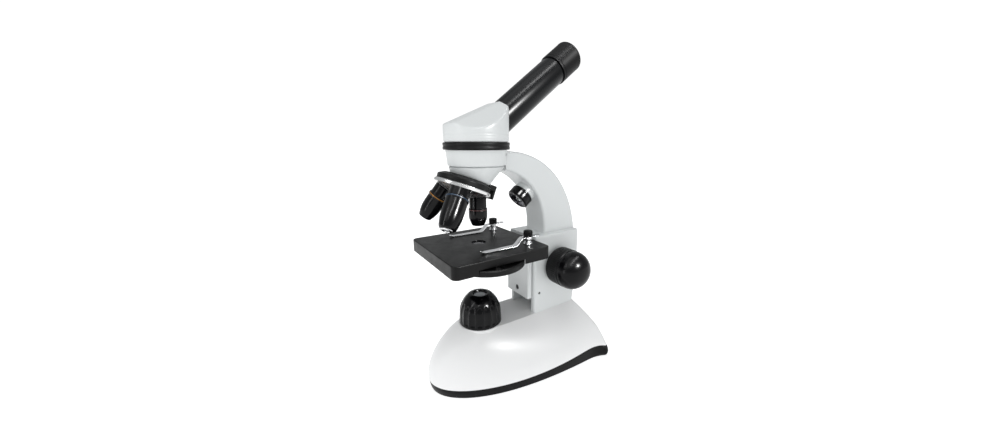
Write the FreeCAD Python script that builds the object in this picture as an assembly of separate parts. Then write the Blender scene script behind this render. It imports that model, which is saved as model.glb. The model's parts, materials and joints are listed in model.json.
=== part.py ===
import FreeCAD, Part
import math
import os

# A monocular student microscope, drawn in millimetres.
# Shapes are drawn about the optical axis, with +Y towards the arm and Z = 0 at the table.
# Each finished shape is moved along Y so that the origin is the middle of the footprint.

# ---------------------------------------------------------------- driving dimensions
BASE_NOSE = -51.0          # front of the base, measured from the optical axis
BASE_REAR = 118.0          # rear of the base
BASE_HALF_WIDTH = 51.0
BASE_FLARE = 4.6           # extra half-width at the rear corners
CORNER_R = 5.0
PAN_BOTTOM = 0.6           # the feet hold the pan this far off the table
BULGE_Z = 10.0             # the base is widest at this height
DECK_Z = 51.0              # flat top of the base
DECK_HALF_WIDTH = 19.8
DECK_NOSE = -20.5
DECK_REAR = 101.0
WALL = 2.8                 # moulded wall of the base
PAN_FLOOR_Z = 4.5

COLUMN_HALF_WIDTH = 19.7
COLUMN_FRONT = 48.0
COLUMN_TOP = 127.5
LEDGE_THICKNESS = 3.0
CHANNEL_HALF_WIDTH = 15.0
CHANNEL_BACK = 88.0

ARM_HALF_WIDTH = 14.5
COLLAR_BOTTOM = 193.8
COLLAR_GROOVE = 1.0        # shadow line between the collar and the nosepiece mount
COLLAR_TOP = 206.2
COLLAR_R = 25.8
COLLAR_R_BOTTOM = 24.4
COLLAR_BORE_R = 19.0

STAGE_SIDE = 90.0
STAGE_TOP = 126.3
STAGE_BOTTOM = 115.8
STAGE_PLATE = 4.0
STAGE_HOLE_R = 6.4
DISC_CENTRE = (22.0, -3.5)
DISC_R = 30.5
DISC_BOTTOM = 113.8
DISC_TOP = 118.8
POST_X = 29.0
POST_Y = 32.5

SHAFT_Y = 76.0
SHAFT_Z = 96.2
SHAFT_R = 3.0
GEAR_MODULE = 0.8
PINION_TEETH = 15
GEAR_BACKLASH = 0.30
KNOB_R = 18.0
KNOB_INNER = 21.6
KNOB_EDGE = 38.0
KNOB_OUTER = 56.0

TURRET_TILT = 21.0         # degrees between the turret axis and the optical axis
TURRET_CENTRE = (-14.2, 175.7)
TURRET_R = 24.0
TURRET_BASE_TOP = 8.5      # the fixed disc starts this far above the turret centre
OBJECTIVE_SHOULDER_Z = 166.5

TUBE_ANGLE = 38.0          # degrees above horizontal
TUBE_FOOT = (26.0, 234.1)  # where the tube axis leaves the head
TUBE_R = 13.2
TUBE_BORE_R = 11.6         # takes a standard 23.2 mm eyepiece
TUBE_LENGTH = 70.0
TUBE_INSIDE = 16.0         # length of tube inside the head
EYEPIECE_TOP = 96.0
EYEPIECE_R = 14.2

LAMP_R = 19.4
LAMP_TOP = 78.0
UPPER_LAMP_R = 10.8
UPPER_LAMP_LENGTH = 9.4
UPPER_LAMP_FALL = 40.0     # degrees below horizontal

RUNNING_GAP = 0.08         # radial clearance of a pivot
BODY_GAP = 0.4             # space between pieces that move past each other

# ---------------------------------------------------------------- derived places
CENTRE_Y = (BASE_NOSE + BASE_REAR) / 2.0
TILT = math.radians(TURRET_TILT)
TUBE_RISE = math.radians(TUBE_ANGLE)
PITCH_R = GEAR_MODULE * PINION_TEETH / 2.0
RACK_LINE_Y = SHAFT_Y - PITCH_R


def vec(x, y, z):
    return FreeCAD.Vector(x, y, z)


Z_UP = vec(0, 0, 1)
X_RIGHT = vec(1, 0, 0)
TURRET_DOWN = vec(0, -math.sin(TILT), -math.cos(TILT))
TURRET_C = vec(0, TURRET_CENTRE[0], TURRET_CENTRE[1])
TURRET_REAR = vec(0, math.cos(TILT), -math.sin(TILT))
TUBE_AXIS = vec(0, math.cos(TUBE_RISE), math.sin(TUBE_RISE))
TUBE_START = vec(0, TUBE_FOOT[0], TUBE_FOOT[1])
LAMP_FALL = math.radians(UPPER_LAMP_FALL)
LAMP_AIM = vec(0, -math.cos(LAMP_FALL), -math.sin(LAMP_FALL))
UPPER_LAMP_FRONT = vec(0, 41.2, 160.0)


# ---------------------------------------------------------------- shape helpers
def box(x0, x1, y0, y1, z0, z1):
    return Part.makeBox(x1 - x0, y1 - y0, z1 - z0, vec(x0, y0, z0))


def rod(radius, start, length, axis=Z_UP):
    return Part.makeCylinder(radius, length, start, axis)


def polygon_face(points):
    return Part.Face(Part.makePolygon(points + [points[0]]))


def outline_edges(points):
    """Edges through (a, b) points; a point given as (a, b, mid_a, mid_b) ends an arc."""
    edges = []
    for before, here in zip(points, points[1:] + points[:1]):
        start = vec(before[0], 0, before[1])
        end = vec(here[0], 0, here[1])
        if len(here) == 4:
            edges.append(Part.Arc(start, vec(here[2], 0, here[3]), end).toShape())
        else:
            edges.append(Part.LineSegment(start, end).toShape())
    return edges


def turned(points, start=vec(0, 0, 0), axis=Z_UP):
    """A solid of revolution from (radius, height) points, standing on start along axis."""
    face = Part.Face(Part.Wire(outline_edges(points)))
    solid = face.revolve(vec(0, 0, 0), Z_UP, 360)
    solid.Placement = FreeCAD.Placement(start, FreeCAD.Rotation(Z_UP, axis))
    return solid


def dome_end(radius, height, rise):
    """The last point of a turned outline that rounds over to the axis as part of a sphere."""
    sphere_r = (radius ** 2 + rise ** 2) / (2 * abs(rise))
    half_angle = math.asin(radius / sphere_r) / 2
    sag = math.copysign(sphere_r * (1 - math.cos(half_angle)), rise)
    return (0, height + rise, sphere_r * math.sin(half_angle), height + rise - sag)


def side_extrusion(edges_or_points, half_width):
    """A solid with the given (Y, Z) outline and flat sides at plus and minus half_width."""
    if isinstance(edges_or_points[0], tuple):
        points = [vec(-half_width, y, z) for y, z in edges_or_points]
        face = polygon_face(points)
    else:
        face = Part.Face(Part.Wire(edges_or_points))
    return face.extrude(vec(2 * half_width, 0, 0))


def spline_edge(points, x):
    curve = Part.BSplineCurve()
    curve.interpolate([vec(x, y, z) for y, z in points])
    return curve.toShape()


def line_edge(start, end, x):
    return Part.LineSegment(vec(x, *start), vec(x, *end)).toShape()


def fuse(shapes):
    return shapes[0].multiFuse(shapes[1:]).removeSplitter()


def cut(shape, tools):
    for tool in tools:
        shape = shape.cut(tool)
    return shape


def mirrored_pair(shape):
    return [shape, shape.mirror(vec(0, 0, 0), X_RIGHT)]


def vertical_edges(shape):
    return [e for e in shape.Edges
            if abs(abs(e.tangentAt(e.FirstParameter).z) - 1.0) < 1e-6 and e.Curve.TypeId == "Part::GeomLine"]


def edges_at_height(shape, z):
    return [e for e in shape.Edges if abs(e.BoundBox.ZMin - z) < 1e-6 and abs(e.BoundBox.ZMax - z) < 1e-6]


def save(node, shape):
    solids = shape.Solids
    kept = solids[0] if len(solids) == 1 else Part.makeCompound(solids)
    if not kept.isValid():
        print("INVALID", node)
    kept.translate(vec(0, -CENTRE_Y, 0))
    kept.exportStep("parts/" + node + ".step")


# ---------------------------------------------------------------- base
def base_section(z, inset):
    """The closed plan outline of the base at one height, drawn in from the skin by inset."""
    share = min(1.0, max(0.0, (z - BULGE_Z) / (DECK_Z - BULGE_Z)))
    side_bulge = math.cos(math.pi / 2 * share)
    nose_bulge = (1 - share ** 2.4) ** 1.1
    tuck = 2.0 * max(0.0, (BULGE_Z - z) / (BULGE_Z - PAN_BOTTOM))
    nose = DECK_NOSE + (BASE_NOSE - DECK_NOSE) * nose_bulge + tuck + inset
    rear = DECK_REAR + (BASE_REAR - DECK_REAR) * side_bulge - inset
    half_width = DECK_HALF_WIDTH + (BASE_HALF_WIDTH - DECK_HALF_WIDTH) * side_bulge - inset
    flare = BASE_FLARE * max(0.0, 1.0 - 4.0 * share) ** 1.5
    squareness = 2.7 + 8.0 * (1 - side_bulge) ** 2
    length = rear - nose
    side = []
    for t in (0.02, 0.08, 0.20, 0.40, 0.62, 0.82, 0.90, 1.0 - CORNER_R / length):
        width = half_width * math.sqrt(1 - (1 - t) ** squareness)
        width += flare * max(0.0, (t - 0.86) / 0.11) ** 2
        side.append(vec(width, nose + t * length, z))
    right = side[-1]
    mirror = [vec(-p.x, p.y, p.z) for p in side]
    skirt = Part.BSplineCurve()
    skirt.interpolate(mirror[::-1] + [vec(0, nose, z)] + side)
    reach = CORNER_R * 0.29
    corner_end = vec(right.x - CORNER_R, rear, z)
    corner_mid = vec(right.x - reach, rear - reach, z)
    left_end = vec(-corner_end.x, rear, z)
    left_mid = vec(-corner_mid.x, corner_mid.y, z)
    edges = [skirt.toShape(),
             Part.Arc(right, corner_mid, corner_end).toShape(),
             Part.LineSegment(corner_end, left_end).toShape(),
             Part.Arc(left_end, left_mid, mirror[-1]).toShape()]
    return Part.Wire(edges)


def base_block(inset, bottom, top):
    middle = [z for z in (BULGE_Z, 18.0, 26.0, 34.0, 42.0) if bottom < z < top - 2]
    heights = [bottom] + middle + [top]
    return Part.makeLoft([base_section(z, inset) for z in heights], True, False)


def seam_tool():
    """Everything below the waved seam between the white shell and the black pan."""
    seam = [(-70, 8.2), (-10, 8.0), (45, 8.6), (78, 10.8), (101, 12.2), (125, 8.0)]
    edges = [spline_edge(seam, -75),
             line_edge(seam[-1], (125, -5), -75),
             line_edge((125, -5), (-70, -5), -75),
             line_edge((-70, -5), seam[0], -75)]
    return side_extrusion(edges, 75)


PAN_SCREWS = [(-22, -18), (22, -18), (-38, 98), (38, 98)]
FEET = [(-17, -31), (17, -31), (-43, 82), (43, 82)]
DOOR = (-29, 29, 12, 70)
COLUMN_BOLTS = [(-9, 79), (9, 79), (-9, 92), (9, 92)]
BOARD_Z = 10.5
INLET_X = -20.0
INLET_Z = 19.0
SWITCH_X = 20.0
SWITCH_Z = 20.0


def base_inside():
    return base_block(WALL, PAN_FLOOR_Z, DECK_Z - 3.0)


def make_base_shell():
    skin = base_block(0.0, PAN_BOTTOM, DECK_Z)
    inside = base_inside()
    lamp_seat = Part.makeCone(21.6, 20.0, 9.3, vec(0, 0, 42.0))
    outside = skin.fuse(lamp_seat)
    shell = outside.cut(inside)
    bosses = [rod(4.0, vec(x, y, PAN_FLOOR_Z), 45.0).common(inside) for x, y in PAN_SCREWS]
    pads = [rod(5.5, vec(x, y, 44.0), 5.0) for x, y in COLUMN_BOLTS]
    shell = fuse([shell] + bosses + pads).common(outside)
    holes = [rod(1.5, vec(x, y, 0), 20.0) for x, y in PAN_SCREWS]
    holes += [rod(2.5, vec(x, y, 40.0), 15.0) for x, y in COLUMN_BOLTS]
    holes.append(rod(9.0, vec(0, 0, 40.0), 20.0))
    holes.append(rod(4.6, vec(INLET_X, 100, INLET_Z), 30.0, vec(0, 1, 0)))
    holes.append(box(SWITCH_X - 9, SWITCH_X + 9, 100, 130, SWITCH_Z - 6, SWITCH_Z + 6))
    holes.append(switch_flange())
    save("base_shell", cut(shell, [seam_tool()] + holes))


def make_base_pan():
    x0, x1, y0, y1 = DOOR
    skin = base_block(0.0, PAN_BOTTOM, DECK_Z)
    pan = skin.cut(base_inside()).common(seam_tool())
    supports = [rod(3.0, vec(x, y, PAN_FLOOR_Z - 1.0), BOARD_Z - PAN_FLOOR_Z + 1.0)
                for x in (-20, 20) for y in (84, 99)]
    pan = fuse([pan] + supports)
    holes = [rod(7.0, vec(x, y, 0), 2.7) for x, y in FEET]
    holes += [rod(3.2, vec(x, y, 0), 3.0) for x, y in PAN_SCREWS]
    holes += [rod(1.5, vec(x, y, 0), 10.0) for x, y in PAN_SCREWS]
    holes.append(box(x0, x1, y0, y1, 0, 10))
    rim = box(x0 - 3, x1 + 3, y0 - 3, y1 + 3, PAN_FLOOR_Z - 1.6, PAN_FLOOR_Z)
    rim = rim.cut(box(x0 + 2, x1 - 2, y0 + 2, y1 - 2, 0, 10))
    save("base_pan", cut(pan, holes).fuse(rim).removeSplitter())


def make_rubber_feet():
    foot = [(0, 0), (6.0, 0), (7.0, 1.0, 6.7, 0.3), (7.0, 2.7), (0, 2.7)]
    save("rubber_feet", Part.makeCompound([turned(foot, vec(x, y, 0)) for x, y in FEET]))


def make_base_screws():
    screw = [(0, 1.6), (2.9, 1.6), (2.9, 3.0), (1.5, 3.0), (1.5, 16.0), (0, 16.0)]
    slot = box(-2.2, 2.2, -0.4, 0.4, 1.0, 2.2)
    screws = []
    for x, y in PAN_SCREWS:
        body = turned(screw).cut(slot)
        body.translate(vec(x, y, 0))
        screws.append(body)
    save("base_screws", Part.makeCompound(screws))


def make_battery_door():
    x0, x1, y0, y1 = DOOR
    door = box(x0 + 0.2, x1 - 0.2, y0 + 0.2, y1 - 0.2, PAN_BOTTOM, PAN_FLOOR_Z - 1.6)
    grips = [box(-10, 10, y1 - 8 - 3 * k, y1 - 7 - 3 * k, 0, PAN_BOTTOM + 0.5) for k in range(4)]
    hole = rod(1.3, vec(0, y0 + 5, 0), 10)
    seat = PAN_BOTTOM + 1.2
    head_seat = rod(2.6, vec(0, y0 + 5, 0), seat)
    save("battery_door", cut(door, grips + [hole, head_seat]))
    top = PAN_FLOOR_Z - 1.6
    screw = [(0, seat - 1.0), (2.4, seat - 1.0), (2.4, seat), (1.3, seat), (1.3, top), (0, top)]
    slot = box(-1.8, 1.8, y0 + 4.7, y0 + 5.3, 0, seat - 0.5)
    save("battery_door_screw", turned(screw, vec(0, y0 + 5, 0)).cut(slot))


def make_battery_holder():
    x0, x1, y0, y1 = DOOR
    wall = 1.6
    cell_z = 10.2
    tray = box(x0 + 0.5, x1 - 0.5, y0 + 0.5, y1 - 0.5, PAN_FLOOR_Z, cell_z + 9.0)
    inside = box(x0 + 0.5 + wall, x1 - 0.5 - wall, y0 + 0.5 + wall, y1 - 0.5 - wall, 0, cell_z + 9.0 - wall)
    ribs = [box(x - 0.6, x + 0.6, y0 + 6, y1 - 6, cell_z, cell_z + 8.0) for x in (-7.2, 7.2)]
    save("battery_holder", fuse([tray.cut(inside)] + ribs))
    cell = [(0, 0), (6.5, 0), (6.5, 49.0), (2.7, 49.0), (2.7, 50.4), (0, 50.4)]
    start_y = (y0 + y1) / 2 - 25.2
    row = [turned(cell, vec(x, start_y, cell_z), vec(0, 1, 0)) for x in (-14.4, 0.0, 14.4)]
    save("batteries", Part.makeCompound(row))


def make_control_board():
    save("control_board", box(-24, 24, 80, 103, BOARD_Z, BOARD_Z + 1.6))


def make_dc_socket():
    barrel = [(2.8, 0), (4.6, 0), (4.6, 14.0), (2.8, 14.0)]
    start = vec(INLET_X, 102.0, INLET_Z)
    tube = turned(barrel, start, vec(0, 1, 0))
    back = rod(4.6, vec(INLET_X, 99.0, INLET_Z), 3.0, vec(0, 1, 0))
    pin = rod(1.0, start, 10.0, vec(0, 1, 0))
    save("dc_socket", fuse([tube, back, pin]))


def switch_flange():
    return box(SWITCH_X - 10.5, SWITCH_X + 10.5, BASE_REAR - 1.4, BASE_REAR - 0.2, SWITCH_Z - 7.5, SWITCH_Z + 7.5)


def make_switch():
    frame = box(SWITCH_X - 9, SWITCH_X + 9, 104, BASE_REAR - 0.9, SWITCH_Z - 6, SWITCH_Z + 6)
    hollow = box(SWITCH_X - 6.4, SWITCH_X + 6.4, 107, 130, SWITCH_Z - 4.6, SWITCH_Z + 4.6)
    pivot = rod(1.0, vec(SWITCH_X, 112.0, SWITCH_Z - 5.0), 10.0)
    outer = fuse([frame, switch_flange()])
    bezel = outer.cut(hollow).fuse(pivot)
    save("switch_bezel", bezel.removeSplitter())
    rocker = box(SWITCH_X - 5.8, SWITCH_X + 5.8, 110.4, 116.0, SWITCH_Z - 4.2, SWITCH_Z + 4.2)
    dish = rod(14.0, vec(SWITCH_X, 128.6, SWITCH_Z - 6), 12.0)
    rocker = rocker.cut(dish)
    rocker = rocker.cut(rod(1.0 + RUNNING_GAP, vec(SWITCH_X, 112.0, SWITCH_Z - 6), 12.0))
    rocker.rotate(vec(SWITCH_X, 112.0, SWITCH_Z), Z_UP, 7.0)
    save("switch_rocker", rocker)


# ---------------------------------------------------------------- column and focus drive
def make_focus_housing():
    rear = [(99.5, DECK_Z), (102.5, 78.0), (104.3, 104.0), (103.6, COLUMN_TOP)]
    edges = [spline_edge(rear, -COLUMN_HALF_WIDTH),
             line_edge(rear[-1], (COLUMN_FRONT, COLUMN_TOP), -COLUMN_HALF_WIDTH),
             line_edge((COLUMN_FRONT, COLUMN_TOP), (COLUMN_FRONT, DECK_Z), -COLUMN_HALF_WIDTH),
             line_edge((COLUMN_FRONT, DECK_Z), rear[0], -COLUMN_HALF_WIDTH)]
    body = side_extrusion(edges, COLUMN_HALF_WIDTH)
    long_edges = [e for e in body.Edges if e.BoundBox.ZMax - e.BoundBox.ZMin > 60]
    body = body.makeFillet(2.2, long_edges)
    ledge_bottom = COLUMN_TOP - LEDGE_THICKNESS
    ledge = box(-COLUMN_HALF_WIDTH - 1.1, COLUMN_HALF_WIDTH + 1.1, COLUMN_FRONT, 84, ledge_bottom, COLUMN_TOP)
    ledge = ledge.makeFillet(1.0, vertical_edges(ledge) + edges_at_height(ledge, COLUMN_TOP))
    channel = box(-CHANNEL_HALF_WIDTH, CHANNEL_HALF_WIDTH, COLUMN_FRONT - 5, CHANNEL_BACK, DECK_Z - 1, ledge_bottom)
    body = body.fuse(ledge).cut(channel)
    floor = box(-CHANNEL_HALF_WIDTH, CHANNEL_HALF_WIDTH, 71, CHANNEL_BACK, DECK_Z, 60)
    gibs = mirrored_pair(box(11.0, CHANNEL_HALF_WIDTH, 64.6, 68.0, DECK_Z, ledge_bottom))
    body = fuse([body, floor] + gibs)
    bores = [rod(6.0, vec(-40, SHAFT_Y, SHAFT_Z), 80, X_RIGHT)]
    bores += [rod(2.5, vec(x, y, 40), 24.0) for x, y in COLUMN_BOLTS]
    bores += [rod(2.5, vec(0, y, 110), 30.0) for y in ARM_SCREW_Y]
    bores.append(rod(1.3, vec(CHANNEL_HALF_WIDTH - 1, 54.3, 70.5), 10, X_RIGHT))
    save("focus_housing", cut(body, bores))


def make_column_bolts():
    bolt = [(0, 40.0), (4.2, 40.0), (4.2, 44.0), (2.5, 44.0), (2.5, 62.0), (0, 62.0)]
    save("column_bolts", Part.makeCompound([turned(bolt, vec(x, y, 0)) for x, y in COLUMN_BOLTS]))


def make_bushings():
    inner = CHANNEL_HALF_WIDTH
    profile = [(SHAFT_R + 0.05, 0), (6.0, 0), (6.0, 4.7), (8.5, 4.7), (8.5, 6.2), (SHAFT_R + 0.05, 6.2)]
    save("shaft_bushings", Part.makeCompound(mirrored_pair(turned(profile, vec(inner, SHAFT_Y, SHAFT_Z), X_RIGHT))))


def involute_point(base_r, radius, half_angle_at_base):
    roll = math.sqrt(max(0.0, (radius / base_r) ** 2 - 1))
    angle = half_angle_at_base - (roll - math.atan(roll))
    return radius, angle


def make_pinion():
    pressure = math.radians(20)
    base_r = PITCH_R * math.cos(pressure)
    tip_r = PITCH_R + 0.75
    root_r = PITCH_R - 1.0
    pitch_roll = math.tan(pressure) - pressure
    half = math.pi / (2 * PINION_TEETH) - GEAR_BACKLASH / (2 * PITCH_R) + pitch_roll
    flank = [involute_point(base_r, r, half) for r in (base_r, PITCH_R, (PITCH_R + tip_r) / 2, tip_r)]
    points = []
    for tooth in range(PINION_TEETH):
        middle = 2 * math.pi * tooth / PINION_TEETH + math.pi
        rising = [(root_r, -half)] + [(r, -a) for r, a in flank]
        falling = [(r, -a) for r, a in reversed(rising)]
        for r, a in rising + falling:
            points.append(vec(-4.5, SHAFT_Y + r * math.cos(middle + a), SHAFT_Z + r * math.sin(middle + a)))
    gear = polygon_face(points).extrude(vec(9, 0, 0))
    save("pinion", gear.cut(rod(SHAFT_R, vec(-6, SHAFT_Y, SHAFT_Z), 12, X_RIGHT)))


def make_focus_shaft():
    save("focus_shaft", rod(SHAFT_R, vec(-50, SHAFT_Y, SHAFT_Z), 100, X_RIGHT))


def knob_solid():
    dome_mid = (15.6, KNOB_OUTER - 7.5)
    profile = [(0, KNOB_INNER), (14.5, KNOB_INNER), (KNOB_R, KNOB_INNER + 3.0, 16.8, KNOB_INNER + 0.7),
               (KNOB_R, KNOB_EDGE), (17.4, KNOB_EDGE + 0.6), (6.0, KNOB_OUTER - 0.6) + dome_mid,
               (0, KNOB_OUTER)]
    knob = turned(profile, vec(0, SHAFT_Y, SHAFT_Z), X_RIGHT)
    bore = rod(SHAFT_R, vec(0, SHAFT_Y, SHAFT_Z), 50, X_RIGHT)
    recess = rod(11.0, vec(KNOB_INNER - 1, SHAFT_Y, SHAFT_Z), 5, X_RIGHT)
    hub = rod(6.5, vec(KNOB_INNER, SHAFT_Y, SHAFT_Z), 6, X_RIGHT)
    return knob.cut(recess).fuse(hub).removeSplitter().cut(bore)


def make_focus_knobs():
    right, left = mirrored_pair(knob_solid())
    save("right_focus_knob", right)
    save("left_focus_knob", left)


# ---------------------------------------------------------------- stage and its slide
SLIDE_BOTTOM = 66.5
SLIDE_HALF_WIDTH = 17.0
SLIDE_FRONT = 42.0
RACK_BOTTOM = 87.5
RACK_TOP = 113.1           # ends on a whole tooth
RACK_HALF_WIDTH = 4.0
STAGE_SCREWS = [(-11, 38.5), (11, 38.5)]


def make_stage_slide():
    plate = box(-SLIDE_HALF_WIDTH, SLIDE_HALF_WIDTH, SLIDE_FRONT, COLUMN_FRONT - 0.8, SLIDE_BOTTOM, STAGE_BOTTOM)
    plate = plate.makeFillet(1.2, vertical_edges(plate))
    tongue_x = CHANNEL_HALF_WIDTH - BODY_GAP
    tongue = box(-tongue_x, tongue_x, COLUMN_FRONT - 2, 64.2, SLIDE_BOTTOM + 1.5, RACK_TOP - 1.0)
    flange = box(-SLIDE_HALF_WIDTH, SLIDE_HALF_WIDTH, 34.0, SLIDE_FRONT + 1, 111.0, STAGE_BOTTOM)
    slide = fuse([plate, tongue, flange])
    holes = [rod(1.8, vec(x, y, 100), 30) for x, y in STAGE_SCREWS]
    holes.append(rod(2.6, vec(0, SLIDE_FRONT - 1, 73.0), 3.0, vec(0, 1, 0)))
    holes.append(rod(1.5, vec(0, SLIDE_FRONT, 73.0), 14.0, vec(0, 1, 0)))
    save("stage_slide", cut(slide, holes))
    head = [(0, 0), (1.5, 0), (1.5, 10.4), (2.5, 10.4), (2.5, 12.0), (0, 12.0)]
    screw = turned(head, vec(0, SLIDE_FRONT + 12.4, 73.0), vec(0, -1, 0))
    save("slide_screw", screw.cut(box(-1.9, 1.9, SLIDE_FRONT - 2, SLIDE_FRONT + 1.1, 72.6, 73.4)))


def make_focus_rack():
    pitch = math.pi * GEAR_MODULE
    slope = math.tan(math.radians(20))
    half_space = pitch / 4 + GEAR_BACKLASH / 4
    tip = RACK_LINE_Y + 0.6
    root = RACK_LINE_Y - 1.0
    space_tip = half_space + 0.6 * slope
    space_root = half_space - 1.0 * slope
    points = [(64.2, RACK_BOTTOM), (tip, RACK_BOTTOM)]
    first = math.ceil((RACK_BOTTOM + 1.5 - SHAFT_Z) / pitch)
    last = math.floor((RACK_TOP - 1.5 - SHAFT_Z) / pitch)
    for k in range(first, last + 1):
        z = SHAFT_Z + k * pitch
        points += [(tip, z - space_tip), (root, z - space_root), (root, z + space_root), (tip, z + space_tip)]
    points += [(tip, RACK_TOP), (64.2, RACK_TOP)]
    save("focus_rack", side_extrusion(points, RACK_HALF_WIDTH))


def make_stage_plate():
    half = STAGE_SIDE / 2
    plate = box(-half, half, -half, half, STAGE_BOTTOM, STAGE_TOP)
    plate = plate.makeFillet(5.0, vertical_edges(plate))
    plate = plate.makeFillet(0.8, edges_at_height(plate, STAGE_TOP))
    under = STAGE_TOP - STAGE_PLATE
    inside = box(-half + 3, half - 3, -half + 3, half - 3, STAGE_BOTTOM - 1, under)
    inside = inside.makeFillet(2.5, vertical_edges(inside))
    pad = box(-SLIDE_HALF_WIDTH, SLIDE_HALF_WIDTH, 32.0, half - 3, STAGE_BOTTOM, under)
    pivot_boss = rod(5.0, vec(DISC_CENTRE[0], DISC_CENTRE[1], DISC_TOP + BODY_GAP), under - DISC_TOP - BODY_GAP)
    plate = fuse([plate.cut(inside), pad, pivot_boss])
    clearance = DISC_R + 0.8
    slot = rod(clearance, vec(DISC_CENTRE[0], DISC_CENTRE[1], STAGE_BOTTOM - 1), DISC_TOP + 2.0 - STAGE_BOTTOM)
    rim_zone = box(half - 4, half + 1, -40, 40, STAGE_BOTTOM - 2, DISC_TOP + 1.0)
    holes = [slot.common(rim_zone),
             rod(STAGE_HOLE_R, vec(0, 0, 100), 40),
             rod(8.0, vec(0, 0, under - 1), STAGE_PLATE - 0.4),
             rod(2.5, vec(DISC_CENTRE[0], DISC_CENTRE[1], 110), under - 110 + 1.5)]
    holes += [rod(1.8, vec(x, y, 110), 11.5) for x, y in STAGE_SCREWS]
    holes += [rod(2.0, vec(x, POST_Y, 110), 30) for x in (-POST_X, POST_X)]
    save("stage_plate", cut(plate, holes))


def make_condenser_lens():
    z = STAGE_TOP - STAGE_PLATE
    profile = [(0, z - 0.4), (6.5, z - 0.4), (8.0, z + 0.2), (8.0, z + 2.6), (6.0, z + 2.6)]
    save("condenser_lens", turned(profile + [dome_end(6.0, z + 2.6, 0.7)]))


def make_stage_screws():
    screw = [(0, 108.4), (3.2, 108.4), (3.2, 111.0), (1.8, 111.0), (1.8, 121.5), (0, 121.5)]
    slot = box(-2.4, 2.4, -0.4, 0.4, 108.0, 109.4)
    screws = []
    for x, y in STAGE_SCREWS:
        body = turned(screw).cut(slot)
        body.translate(vec(x, y, 0))
        screws.append(body)
    save("stage_screws", Part.makeCompound(screws))


def make_disc_diaphragm():
    x, y = DISC_CENTRE
    hole_ring = math.hypot(x, y)
    profile = [(2.5 + RUNNING_GAP, 114.6), (26.5, 114.6), (27.5, DISC_BOTTOM), (29.7, DISC_BOTTOM),
               (DISC_R, DISC_BOTTOM + 0.8), (DISC_R, DISC_TOP - 0.8), (29.7, DISC_TOP),
               (28.5, DISC_TOP), (28.5, 117.0), (6.0, 117.0), (6.0, DISC_TOP), (2.5 + RUNNING_GAP, DISC_TOP)]
    disc = turned(profile, vec(x, y, 0))
    towards_axis = math.atan2(-y, -x)
    for place, radius in enumerate((5.6, 4.4, 3.4, 2.5, 1.7, 1.0)):
        angle = towards_axis + math.radians(60) * place
        centre = vec(x + hole_ring * math.cos(angle), y + hole_ring * math.sin(angle), 110)
        disc = disc.cut(rod(radius, centre, 10))
    save("disc_diaphragm", disc)
    top = STAGE_TOP - STAGE_PLATE + 1.5
    pivot = [(0, 112.0), (4.5, 112.0), (5.0, 112.5), (5.0, DISC_BOTTOM + 0.4), (2.5, DISC_BOTTOM + 0.4),
             (2.5, top), (0, top)]
    save("diaphragm_pivot", turned(pivot, vec(x, y, 0)).cut(box(x - 3, x + 3, y - 0.5, y + 0.5, 111, 112.9)))


CLIP_UNDERSIDE = 132.5
CLIP_THICKNESS = 0.8


def make_clip_posts():
    foot = STAGE_TOP
    shoulder = CLIP_UNDERSIDE - 0.1
    profile = [(0, 118.5), (2.0, 118.5), (2.0, foot), (3.9, foot), (3.9, foot + 0.9), (3.1, foot + 1.6),
               (3.1, shoulder), (2.0, shoulder), (2.0, 136.6), (0, 136.6)]
    posts = [turned(profile, vec(x, POST_Y, 0)) for x in (-POST_X, POST_X)]
    save("clip_posts", Part.makeCompound(posts))
    bottom = CLIP_UNDERSIDE + CLIP_THICKNESS + 0.1
    cap = [(2.0, bottom), (3.6, bottom), (4.0, bottom + 0.4), (4.0, 137.8), (3.4, 138.4, 3.8, 138.2),
           (0, 138.4), (0, 136.6), (2.0, 136.6)]
    save("clip_caps", Part.makeCompound([turned(cap, vec(x, POST_Y, 0)) for x in (-POST_X, POST_X)]))


def clip_solid(x):
    low = STAGE_TOP + 0.3
    high = CLIP_UNDERSIDE
    lower = [(45.0, high), (28.0, high), (16.5, low), (-11.0, low), (-14.5, low + 1.6)]
    upper = [(-15.0, low + 2.3), (-11.3, low + 0.8), (16.2, low + 0.8), (27.7, high + CLIP_THICKNESS),
             (45.0, high + CLIP_THICKNESS)]
    strip = side_extrusion(lower + upper, 3.0)
    eye = rod(4.2, vec(0, POST_Y, high), CLIP_THICKNESS)
    strip = strip.fuse(eye).removeSplitter().cut(rod(2.0 + RUNNING_GAP, vec(0, POST_Y, 120), 30))
    strip.translate(vec(x, 0, 0))
    return strip


def make_clips():
    save("left_clip", clip_solid(-POST_X))
    save("right_clip", clip_solid(POST_X))


# ---------------------------------------------------------------- arm and nosepiece
ARM_SCREW_Y = (73, 83)
COLLAR_SCREW_ANGLES = (-113, 42)
COLLAR_SCREW_Z = 202.7


def arm_blank():
    outer = [(12, 204.0), (42, 202.6), (74, 185.4), (95.5, 155.5), (103.2, COLUMN_TOP)]
    inner = [(62.8, COLUMN_TOP), (59.8, 153.0), (46, 175.6), (27, 187.4), (12, 190.6)]
    edges = [spline_edge(outer, -ARM_HALF_WIDTH),
             line_edge(outer[-1], inner[0], -ARM_HALF_WIDTH),
             spline_edge(inner, -ARM_HALF_WIDTH),
             line_edge(inner[-1], outer[0], -ARM_HALF_WIDTH)]
    arm = side_extrusion(edges, ARM_HALF_WIDTH)
    curved = [e for e in arm.Edges if e.Curve.TypeId == "Part::GeomBSplineCurve"]
    return arm.makeFillet(2.4, curved)


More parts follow.
